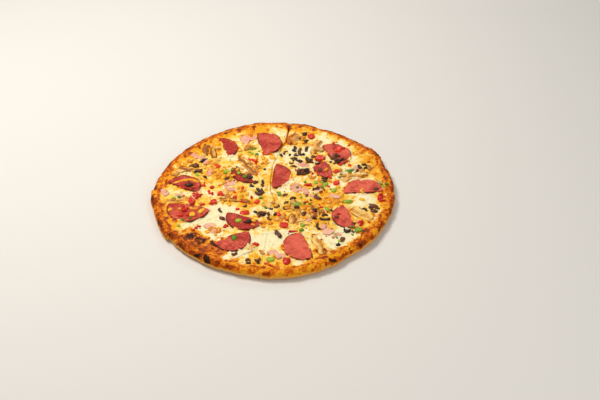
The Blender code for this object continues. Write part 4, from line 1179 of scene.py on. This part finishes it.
def oliveShape(name, sweep, hole, seed):
    # part of a ring of olive, with a rounded section
    shell = bmesh.new()
    sections = []
    count = 9
    for step in range(count):
        angle = -sweep / 2.0 + sweep * step / (count - 1)
        closing = math.sin(math.pi * (0.12 + 0.76 * step / (count - 1)))
        ring = []
        for corner in range(8):
            turn = 2.0 * math.pi * corner / 8
            radius = (1.0 + hole) / 4.0 + (1.0 - hole) / 4.0 * math.cos(turn) * closing
            radius *= 1.0 + 0.10 * noise.noise((step * 0.7, seed * 4.0, corner * 0.6))
            height = 0.5 + 0.5 * math.sin(turn) * (0.75 + 0.25 * closing)
            ring.append(shell.verts.new((radius * math.sin(angle), radius * math.cos(angle), height)))
        sections.append(ring)
    for here, there in zip(sections, sections[1:]):
        for corner in range(8):
            after = (corner + 1) % 8
            shell.faces.new((here[corner], there[corner], there[after], here[after]))
    shell.faces.new(sections[0])
    shell.faces.new(sections[-1][::-1])
    bmesh.ops.recalc_face_normals(shell, faces=shell.faces)
    middle = sum((vertex.co for vertex in shell.verts), Vector()) / len(shell.verts)
    width = max(abs(vertex.co.x) for vertex in shell.verts) * 2.0
    tall = max(vertex.co.y for vertex in shell.verts) - min(vertex.co.y for vertex in shell.verts)
    for vertex in shell.verts:
        vertex.co.x /= width
        vertex.co.y = (vertex.co.y - middle.y) / tall
    return shapeOf(shell, name)


def shapeCollection(name, shapes):
    group = bpy.data.collections.new(name)
    for shape in shapes:
        group.objects.link(shape)
    return group


smallShapes = {
    "red_pepper": [blockShape(f"redShape{k}", 5.0, 0.35, k + 1) for k in range(3)],
    "green_pepper": [blockShape(f"greenShape{k}", 5.0, 0.35, k + 11) for k in range(3)],
    "corn": [blockShape(f"cornShape{k}", 2.8, 0.15, k + 21, 0.35) for k in range(3)],
    "olive": [oliveShape("oliveShape0", 2.4, 0.12, 1), blockShape("oliveShape1", 2.5, 0.5, 31, 0.3, 4),
              blockShape("oliveShape2", 2.3, 0.6, 37, 0.0, 4), oliveShape("oliveShape3", 3.0, 0.2, 5)],
}


# A Geometry Nodes tree that puts shapes on points, each with its own size, turn and shade.
def scatterTree():
    tree = bpy.data.node_groups.new("scatteredCuts", "GeometryNodeTree")
    sockets = [("Points", "NodeSocketGeometry"), ("Shapes", "NodeSocketCollection"),
               ("Variants", "NodeSocketInt"), ("Swell", "NodeSocketFloat"), ("Spread", "NodeSocketFloat"),
               ("Lean", "NodeSocketFloat"), ("Seed", "NodeSocketInt"), ("Finish", "NodeSocketMaterial")]
    for name, kind in sockets:
        tree.interface.new_socket(name=name, in_out="INPUT", socket_type=kind)
    tree.interface.new_socket(name="Cuts", in_out="OUTPUT", socket_type="NodeSocketGeometry")

    def add(kind, inputs=None, **settings):
        return addNode(tree, kind, inputs, **settings)

    def stored(name, kind):
        return add("GeometryNodeInputNamedAttribute", {"Name": name}, data_type=kind).outputs["Attribute"]

    def drawn(low, high, seed):
        # sockets 2, 3 and 8 hold the least, the most and the seed of a random number
        return add("FunctionNodeRandomValue", {2: low, 3: high, 8: seed}, data_type="FLOAT").outputs[1]

    def reckon(operation, first, second):
        return add("ShaderNodeMath", {0: first, 1: second}, operation=operation).outputs[0]

    given = add("NodeGroupInput").outputs
    seeds = [reckon("ADD", given["Seed"], float(step)) for step in range(5)]
    backwards = reckon("MULTIPLY", given["Lean"], -1.0)
    turn = add("ShaderNodeCombineXYZ", {
        "X": drawn(backwards, given["Lean"], seeds[0]),
        "Y": drawn(backwards, given["Lean"], seeds[1]),
        "Z": stored("cutTurn", "FLOAT"),
    }).outputs["Vector"]
    least = reckon("SUBTRACT", given["Swell"], given["Spread"])
    most = reckon("ADD", given["Swell"], given["Spread"])
    size = add("ShaderNodeVectorMath", {0: stored("cutSize", "FLOAT_VECTOR"), "Scale": drawn(least, most, seeds[2])},
               operation="SCALE").outputs["Vector"]
    shapes = add("GeometryNodeCollectionInfo", {"Collection": given["Shapes"], "Separate Children": True,
                                                "Reset Children": True}).outputs["Instances"]
    which = reckon("FLOOR", drawn(0.0, given["Variants"], seeds[3]), 0.0)
    placed = add("GeometryNodeInstanceOnPoints", {
        "Points": given["Points"], "Instance": shapes, "Pick Instance": True, "Instance Index": which,
        "Rotation": turn, "Scale": size,
    }).outputs["Instances"]
    shaded = add("GeometryNodeStoreNamedAttribute", {"Geometry": placed, "Name": "shade",
                                                     "Value": drawn(0.0, 1.0, seeds[4])},
                 data_type="FLOAT", domain="INSTANCE").outputs["Geometry"]
    real = add("GeometryNodeRealizeInstances", {"Geometry": shaded}).outputs["Geometry"]
    painted = add("GeometryNodeSetMaterial", {"Geometry": real, "Material": given["Finish"]}).outputs["Geometry"]
    add("NodeGroupOutput", {"Cuts": painted})
    return tree


cutTreeNodes = scatterTree()


def scatterPiece(name, places, shapes, finish, settings):
    # places holds (x, y, z, length, width, height, turn), in plan
    mesh = bpy.data.meshes.new(name + "Points")
    spots = np.array([place[:3] for place in places], dtype=float)
    spots[:, :2] -= planMiddle
    mesh.from_pydata((spots * mm).tolist(), [], [])
    sizes = mesh.attributes.new("cutSize", "FLOAT_VECTOR", "POINT")
    sizes.data.foreach_set("vector", (np.array([place[3:6] for place in places]) * mm).astype(np.float32).ravel())
    turns = mesh.attributes.new("cutTurn", "FLOAT", "POINT")
    turns.data.foreach_set("value", np.array([place[6] for place in places], dtype=np.float32))
    carrier = bpy.data.objects.new(name + "Carrier", mesh)
    bpy.context.scene.collection.objects.link(carrier)
    group = shapeCollection(name + "Shapes", shapes)
    modifier = carrier.modifiers.new("scatter", "NODES")
    modifier.node_group = cutTreeNodes
    values = {"Shapes": group, "Variants": len(shapes), "Finish": finishes[finish], **settings}
    for item in cutTreeNodes.interface.items_tree:
        if item.in_out == "INPUT" and item.name in values:
            modifier[item.identifier] = values[item.name]
    bpy.context.view_layer.update()
    graph = bpy.context.evaluated_depsgraph_get()
    real = bpy.data.meshes.new_from_object(carrier.evaluated_get(graph))
    heights = np.empty(len(real.vertices) * 3)
    real.vertices.foreach_get("co", heights)
    # the topmost stretch is pressed together, so that nothing stands out of the solids' box
    press = 0.6 * mm
    top = roundPlan["highest"] * mm - press
    tall = heights[2::3]
    tall[:] = np.where(tall > top, top + press * np.tanh((tall - top) / press), tall)
    real.vertices.foreach_set("co", heights)
    carrier.modifiers.clear()
    bpy.data.objects.remove(carrier, do_unlink=True)
    bpy.data.collections.remove(group)
    piece = bpy.data.objects.new(name, real)
    bpy.context.scene.collection.objects.link(piece)
    return piece


# The small cuts, one piece for each kind. Their foot is sunk into what carries them. Bits that
# are too small for the solids are strewn among them: centre of a busy place, its reach, how many.
smallForms = {
    "red_pepper": {
        "name": "redPepperDice", "sink": 1.4, "Swell": 1.05, "Spread": 0.08, "Lean": 0.22, "Seed": 3,
        "bits": (3.2, 5.2, 2.6), "busy": [
            (-90, 0, 22, 6), (45, -45, 22, 7), (-36, -28, 16, 5), (62, 20, 18, 4), (140, -22, 6, 4), (-96, -70, 8, 3),
            (-4, -142, 12, 2), (100, 48, 10, 2), (-30, 60, 6, 2), (-110, -42, 10, 3), (88, 92, 7, 3), (40, 112, 10, 2),
            (-98, -13, 4, 2), (-82, -6, 3, 2), (-68, -10, 3, 2)],
    },
    "green_pepper": {
        "name": "greenPepperDice", "sink": 1.4, "Swell": 1.05, "Spread": 0.08, "Lean": 0.22, "Seed": 5,
        "bits": (2.8, 5.0, 2.4), "busy": [
            (62, 8, 18, 6), (98, 38, 10, 4), (144, 4, 5, 4), (-28, 80, 9, 4), (36, -30, 12, 6), (-58, 34, 8, 3),
            (-112, -66, 10, 3), (74, -96, 6, 3), (-10, -34, 10, 3), (98, -82, 7, 3), (-122, -14, 8, 2)],
    },
    "olive": {
        "name": "oliveCuts", "sink": 1.2, "Swell": 1.08, "Spread": 0.08, "Lean": 0.25, "Seed": 7,
        "bits": (4.0, 8.0, 2.8), "busy": [
            (-46, 33, 3, 2), (-33, 21, 4, 3), (-22, 13, 3, 2), (30, 85, 3, 1), (37, 75, 3, 2), (45, 82, 3, 1),
            (28, 60, 4, 2), (48, 58, 4, 3), (18, 73, 3, 1), (78, 55, 4, 3), (88, 58, 3, 2), (65, 16, 3, 1),
            (112, 38, 3, 1),
            (40, 66, 20, 7), (-100, 48, 9, 4), (-8, -48, 16, 6), (60, -54, 13, 6), (124, -40, 8, 4), (80, -100, 7, 3),
            (-20, -138, 8, 3), (112, 48, 10, 4), (-14, 2, 9, 4), (84, 62, 8, 5), (38, -26, 12, 6), (-110, 8, 7, 3),
            (98, -84, 7, 3), (60, -10, 10, 3)],
    },
    "corn": {
        "name": "cornKernels", "sink": 1.6, "Swell": 1.12, "Spread": 0.08, "Lean": 0.3, "Seed": 9, "onTopping": 1.3,
        "bits": (4.6, 7.6, 2.6), "busy": [
            (-70, 30, 18, 12), (-96, 52, 13, 5), (44, -32, 18, 9), (76, -24, 13, 8), (36, 114, 10, 4), (-8, -64, 11, 5),
            (-14, 62, 11, 5), (60, 12, 13, 5), (-112, -36, 11, 4), (-70, -80, 10, 4), (20, -42, 14, 5), (-44, -6, 13, 5),
            (-60, -28, 10, 3), (-30, 90, 8, 3), (110, -10, 6, 2)],
    },
}
strewing = {"apart": 3.6, "reach": 146.0, "sunk": 0.4, "seed": 12, "tries": 8, "offTopping": 1.5,
            "narrow": (0.5, 0.85), "low": (0.8, 1.1), "sinkTop": 0.35}


def surfaceTree(names):
    # one search tree over pieces already made, in plan millimetres
    points = []
    faces = []
    for name in names:
        mesh = bpy.data.objects[name].data
        start = len(points)
        places = np.empty(len(mesh.vertices) * 3)
        mesh.vertices.foreach_get("co", places)
        places = places.reshape(-1, 3) / mm
        places[:, :2] += planMiddle
        points += places.tolist()
        faces += [tuple(start + corner for corner in face.vertices) for face in mesh.polygons]
    return BVHTree.FromPolygons(points, faces)


dressedNames = [thing.name for thing in bpy.context.scene.objects
                if thing.name.startswith(("cheeseSlice", "salami", "ham", "mushroom")) and "_" not in thing.name]
dressedTree = surfaceTree(dressedNames)


def surfaceHeight(x, y):
    return dressedTree.ray_cast((x, y, 40.0), (0.0, 0.0, -1.0))[0]


def strew(form, taken, draw):
    # places of bits in the busy places, clear of each other
    small, large, tall = form["bits"]
    places = []
    for x, y, reach, count in form["busy"]:
        left = count
        for _ in range(count * strewing["tries"]):
            spot = np.array([x, y]) + draw.normal(0.0, reach / 1.6, 2)
            clear = np.hypot(*(np.array(taken) - spot).T).min() > strewing["apart"]
            if form.get("onCheese") and toppingTree.find_nearest((*spot, 0.0), strewing["offTopping"])[0] is not None:
                continue
            if left == 0 or not clear or np.hypot(*spot) > strewing["reach"]:
                continue
            hit = surfaceHeight(*spot)
            if hit is None:
                continue
            length = draw.uniform(small, large)
            width = length * draw.uniform(*strewing["narrow"])
            height = tall * draw.uniform(*strewing["low"])
            places.append((*spot, hit.z - strewing["sunk"] * tall, length, width, height,
                           draw.uniform(0.0, 2.0 * math.pi)))
            taken.append(spot)
            left -= 1
    return places


draw = np.random.default_rng(strewing["seed"])
taken = [cut["place"] for cuts in smallCuts.values() for cut in cuts]
for kind, form in smallForms.items():
    places = []
    for cut in smallCuts[kind]:
        rise = carried["rises"][kind] - strewing["sinkTop"]
        base = cut["surface"] - form["sink"]
        wider = form.get("onTopping", 1.0) if cut["surface"] == carried["surfaces"]["topping"] else 1.0
        places.append((*cut["place"], base, wider * cut["length"], wider * cut["width"], rise + form["sink"],
                       cut["turn"]))
    places += strew(form, taken, draw)
    settings = {key: form[key] for key in ("Swell", "Spread", "Lean", "Seed")}
    piece = scatterPiece(form["name"], places, smallShapes[kind], kind, settings)
    dress(piece)


# Scraps of mushroom and toasted crumbs, too small for the solids.
strewnForms = {
    "mushroomScraps": {
        "finish": "mushroomScrap", "slot": "mushroom", "Swell": 1.0, "Spread": 0.15, "Lean": 0.2, "Seed": 31,
        "bits": (6.0, 12.0, 2.2), "onCheese": True,
        "busy": [
            (-32, 54, 10, 4), (-88, 84, 12, 4), (34, -42, 12, 4), (50, -50, 9, 3), (22, -118, 5, 2), (-24, -118, 8, 3),
            (26, 106, 5, 3), (56, 90, 8, 2), (-4, -30, 10, 3), (100, 30, 14, 3), (112, -52, 10, 3), (-124, 42, 6, 2),
            (100, -44, 5, 3), (121, -57, 4, 2), (126, 45, 4, 2), (-34, 96, 6, 2), (-60, -18, 12, 3),
            (8, -66, 8, 2), (30, -60, 8, 3), (64, -118, 8, 2), (-116, -26, 8, 2), (-30, 30, 8, 2),
            (130, 10, 6, 1)],
    },
    "toastedCrumbs": {
        "finish": "crumb", "Swell": 1.0, "Spread": 0.3, "Lean": 0.3, "Seed": 33, "bits": (1.2, 2.6, 1.0),
        "busy": [
            (0, 0, 90, 30), (50, -40, 36, 36), (-80, 40, 36, 20), (60, 60, 30, 24), (-90, -95, 24, 26), (90, -105, 22, 14),
            (0, 120, 30, 10)],
    },
    "hamScraps": {
        "finish": "ham", "slot": "ham", "Swell": 1.0, "Spread": 0.12, "Lean": 0.12, "Seed": 35, "bits": (8.0, 12.0, 1.8),
        "onCheese": True,
        "busy": [
            (-141, -6, 4, 2), (-60, 2, 6, 2), (-46, 20, 5, 2), (-98, 68, 5, 2), (-84, 34, 4, 2), (44, 47, 5, 2),
            (110, 42, 5, 2), (40, -8, 5, 2), (50, -14, 5, 1), (72, -16, 6, 2), (-74, -80, 5, 2), (8, -130, 6, 2),
            (76, -90, 5, 2), (44, -60, 5, 1), (-30, 110, 6, 2), (60, -80, 5, 1), (-30, -108, 5, 1)],
    },
}
scrapShapes = {
    "mushroomScraps": [blockShape(f"scrapShape{k}", 2.5, 0.9, k + 61, 0.25 * k, 5) for k in range(3)],
    "hamScraps": [blockShape(f"hamShape{k}", 4.0, 0.32, k + 81, 0.0, 4) for k in range(3)],
    "toastedCrumbs": [blockShape(f"crumbShape{k}", 2.4, 0.7, k + 71, 0.0, 2) for k in range(2)],
}
for name, form in strewnForms.items():
    settings = {key: form[key] for key in ("Swell", "Spread", "Lean", "Seed")}
    piece = scatterPiece(name, strew(form, taken, draw), scrapShapes[name], form["finish"], settings)
    dress(piece)


# Strands of melted cheese that run over what lies below: stops in plan, width, height, warmth, browning.
strandForm = {
    "across": 9, "spanSteps": 7, "sunk": 0.7, "wobble": (0.35, 6.0), "pressed": 0.15,
    "taper": (0.03, 0.94),              # the part of a half wave that the width follows
    "strands": [
        ([(-131, 11), (-121, 17), (-109, 20), (-99, 15), (-92, 16)], 4.6, 0.9, 0.45, 0.32),
        ([(-32, 137), (-30, 130), (-32, 121), (-30, 112)], 5.0, 1.4, 0.5, 0.5),
        ([(-53, 56), (-45, 49), (-38, 40), (-30, 31)], 4.6, 1.2, -0.3, -0.2),
        ([(-48, -131), (-37, -124), (-28, -118), (-19, -113)], 6.0, 1.6, -0.4, -0.3),
        ([(18, -90), (8, -84), (-3, -85), (-14, -88)], 4.0, 0.9, -0.3, -0.2),
        ([(60, -96), (70, -104), (84, -106), (95, -100)], 4.5, 1.2, -0.3, -0.2),
        ([(112, 15), (122, 17), (133, 12)], 4.0, 1.0, -0.2, -0.1),
        ([(86, 30), (98, 34), (110, 30), (121, 31)], 4.0, 1.0, -0.2, -0.1),
        ([(-100, -76), (-92, -82), (-86, -90)], 4.0, 1.3, 0.3, 0.3),
        ([(-92, -60), (-80, -56), (-70, -61), (-60, -60)], 4.0, 0.9, -0.3, -0.2),
        ([(70, 100), (80, 100), (91, 95), (99, 86)], 4.5, 1.1, -0.2, -0.1),
        ([(-22, -60), (-14, -68), (-4, -72), (4, -80)], 3.6, 0.9, 0.2, 0.1),
        ([(44, -134), (54, -140), (66, -134)], 4.0, 1.1, 0.4, 0.4),
    ],
}


def layStrand(surface, number, stops, width, rise, warmth, toast):
    form = strandForm
    line = curveThrough(stops, form["spanSteps"])
    along = np.linspace(0.0, 1.0, len(line))
    run = np.gradient(line, axis=0)
    across = np.column_stack([-run[:, 1], run[:, 0]]) / np.hypot(*run.T)[:, None]
    begin, share = form["taper"]
    taper = np.sqrt(np.clip(np.sin(math.pi * (begin + share * along)), 0.0, 1.0))
    strength, size = form["wobble"]
    half = width / 2.0 * taper * (1.0 + strength * noiseField(line, size, 120.0 + number))
    sides = np.linspace(-1.0, 1.0, form["across"])
    plans = line[:, None] + across[:, None] * (sides[None, :, None] * half[:, None, None])
    below = np.array([[getattr(surfaceHeight(x, y), "z", np.nan) for x, y in row] for row in plans])
    below = np.where(np.isnan(below), np.nanmean(below), below)
    for _ in range(3):
        below[1:-1] = (below[:-2] + 2.0 * below[1:-1] + below[2:]) / 4.0
    rings = []
    for plan, floor, share in zip(plans, below, taper):
        heights = floor + rise * share * np.sqrt(np.clip(1.0 - sides ** 2, 0.0, 1.0)) - form["pressed"]
        tones = {"warmth": warmth, "toast": toast, "burn": 0.0}
        top = surface.addRow(plan, np.minimum(heights, roundPlan["highest"]), **tones)
        foot = surface.addRow(plan[[-1, 0]], floor[[-1, 0]] - form["sunk"], **tones)
        rings.append(top + foot)
    for here, there in zip(rings, rings[1:]):
        surface.bridge(here + here[:1], there + there[:1])
    surface.faces.append(tuple(rings[0]))
    surface.faces.append(tuple(rings[-1]))


surface = Surface()
for number, strand in enumerate(strandForm["strands"]):
    layStrand(surface, number, *strand)
dress(makePiece("cheeseStrands", surface, "cheese"))
print("cheese strands made")


# Heaps of olive: overlapping cuts within the outline of their solid.
heapForm = {"cutLength": 9.0, "cutWidth": 6.5, "cutHeight": 2.6, "spacing": 5.2, "seed": 4,
            "layers": 2, "layerShrink": 0.45, "layerRise": 1.5, "sunk": 0.4, "jitter": 0.8, "smaller": (0.75, 1.0)}
for number in (1, 2):
    node = f"olives_{number}"
    middle, direction, length, width = longAxis(feet[node])
    across = np.array([-direction[1], direction[0]])
    places = []
    draw = np.random.default_rng(heapForm["seed"] + number)
    for layer in range(heapForm["layers"]):
        room = 1.0 - heapForm["layerShrink"] * layer
        alongCount = max(1, round(room * (length - 5.0) / heapForm["spacing"]))
        acrossCount = max(1, round(room * (width - 4.0) / heapForm["spacing"]))
        for i in range(alongCount):
            for j in range(acrossCount):
                jitter = heapForm["jitter"]
                a = room * ((i + 0.5) / alongCount - 0.5) * (length - 3.0) + draw.uniform(-jitter, jitter)
                b = room * ((j + 0.5) / acrossCount - 0.5) * (width - 3.0) + draw.uniform(-jitter, jitter)
                spot = middle + a * direction + b * across
                base = carried["seat"] - heapForm["sunk"] + heapForm["layerRise"] * layer
                cutLength = heapForm["cutLength"] * draw.uniform(*heapForm["smaller"])
                cutWidth = heapForm["cutWidth"] * draw.uniform(*heapForm["smaller"])
                places.append((*spot, base, cutLength, cutWidth, heapForm["cutHeight"],
                               draw.uniform(0.0, 2.0 * math.pi)))
    name = f"heapShape{number}"
    shapes = [oliveShape(name + "0", 2.2, 0.15, 41), blockShape(name + "1", 2.4, 0.5, 47, 0.2, 4),
              blockShape(name + "2", 2.6, 0.5, 53, 0.0, 4), oliveShape(name + "3", 2.8, 0.2, 59)]
    settings = {"Swell": 1.0, "Spread": 0.08, "Lean": 0.35, "Seed": 20 + number}
    piece = scatterPiece(f"oliveHeap{number}", places, shapes, "olive", settings)
    dress(piece, [node])
print("small cuts made")

for shapes in [*smallShapes.values(), *scrapShapes.values()]:
    for shape in shapes:
        bpy.data.objects.remove(shape, do_unlink=True)


# Floor, light and camera.
studio = {
    "floorSize": 4.0, "floor": paint(232, 230, 226),
    "floorDrop": 0.0002,
    "key": {"place": (-0.60, 0.35, 1.15), "size": 0.55, "power": 13.0, "colour": (1.0, 0.95, 0.87)},
    "back": {"place": (0.25, 1.15, 0.95), "size": 0.40, "power": 2.4, "colour": (1.0, 0.97, 0.92)},
    "fill": {"place": (0.7, -1.0, 0.9), "size": 1.0, "power": 5.0, "colour": (1.0, 0.97, 0.93)},
    "world": (1.0, 0.98, 0.95), "worldStrength": 0.27,
    # the camera, in millimetres and degrees: aimed so that the round lies where the photograph has it
    "tilt": 39.0, "lens": 57.0, "sensor": 36.0, "cameraPlace": (21.0, -957.9, 768.4),
    "aim": (10.5, 950.0, 1.0),          # sideways, ahead and upwards
}


def makeFloor():
    half = studio["floorSize"] / 2.0
    mesh = bpy.data.meshes.new("floor")
    corners = [(-half, -half), (half, -half), (half, half), (-half, half)]
    mesh.from_pydata([(x, y, -studio["floorDrop"]) for x, y in corners], [], [(0, 1, 2, 3)])
    material = bpy.data.materials.new("paleFloor")
    material.use_nodes = True
    surface = material.node_tree.nodes["Principled BSDF"]
    surface.inputs["Base Color"].default_value = studio["floor"]
    surface.inputs["Roughness"].default_value = 0.7
    mesh.materials.append(material)
    floor = bpy.data.objects.new("floor", mesh)
    bpy.context.scene.collection.objects.link(floor)


def makeLamp(name):
    lamp = studio[name]
    data = bpy.data.lights.new(name, "AREA")
    data.shape = "DISK"
    data.size = lamp["size"]
    data.energy = lamp["power"]
    data.color = lamp["colour"]
    light = bpy.data.objects.new(name, data)
    light.location = lamp["place"]
    light.rotation_euler = (-Vector(lamp["place"])).to_track_quat("-Z", "Y").to_euler()
    bpy.context.scene.collection.objects.link(light)


def makeCamera():
    tilt = math.radians(studio["tilt"])
    ahead = Vector((0.0, math.cos(tilt), -math.sin(tilt)))
    upwards = Vector((0.0, math.sin(tilt), math.cos(tilt)))
    data = bpy.data.cameras.new("camera")
    data.lens = studio["lens"]
    data.sensor_width = studio["sensor"]
    camera = bpy.data.objects.new("camera", data)
    camera.location = Vector(studio["cameraPlace"]) * mm
    sideways, forwards, raised = studio["aim"]
    aim = forwards * ahead + Vector((sideways, 0.0, 0.0)) + raised * upwards
    camera.rotation_euler = aim.to_track_quat("-Z", "Y").to_euler()
    bpy.context.scene.collection.objects.link(camera)
    bpy.context.scene.camera = camera


makeFloor()
makeLamp("key")
makeLamp("fill")
makeLamp("back")
world = bpy.data.worlds.new("studio")
world.use_nodes = True
world.node_tree.nodes["Background"].inputs["Color"].default_value = (*studio["world"], 1.0)
world.node_tree.nodes["Background"].inputs["Strength"].default_value = studio["worldStrength"]
bpy.context.scene.world = world
bpy.context.scene.view_settings.view_transform = "Standard"
makeCamera()
print("stage set")
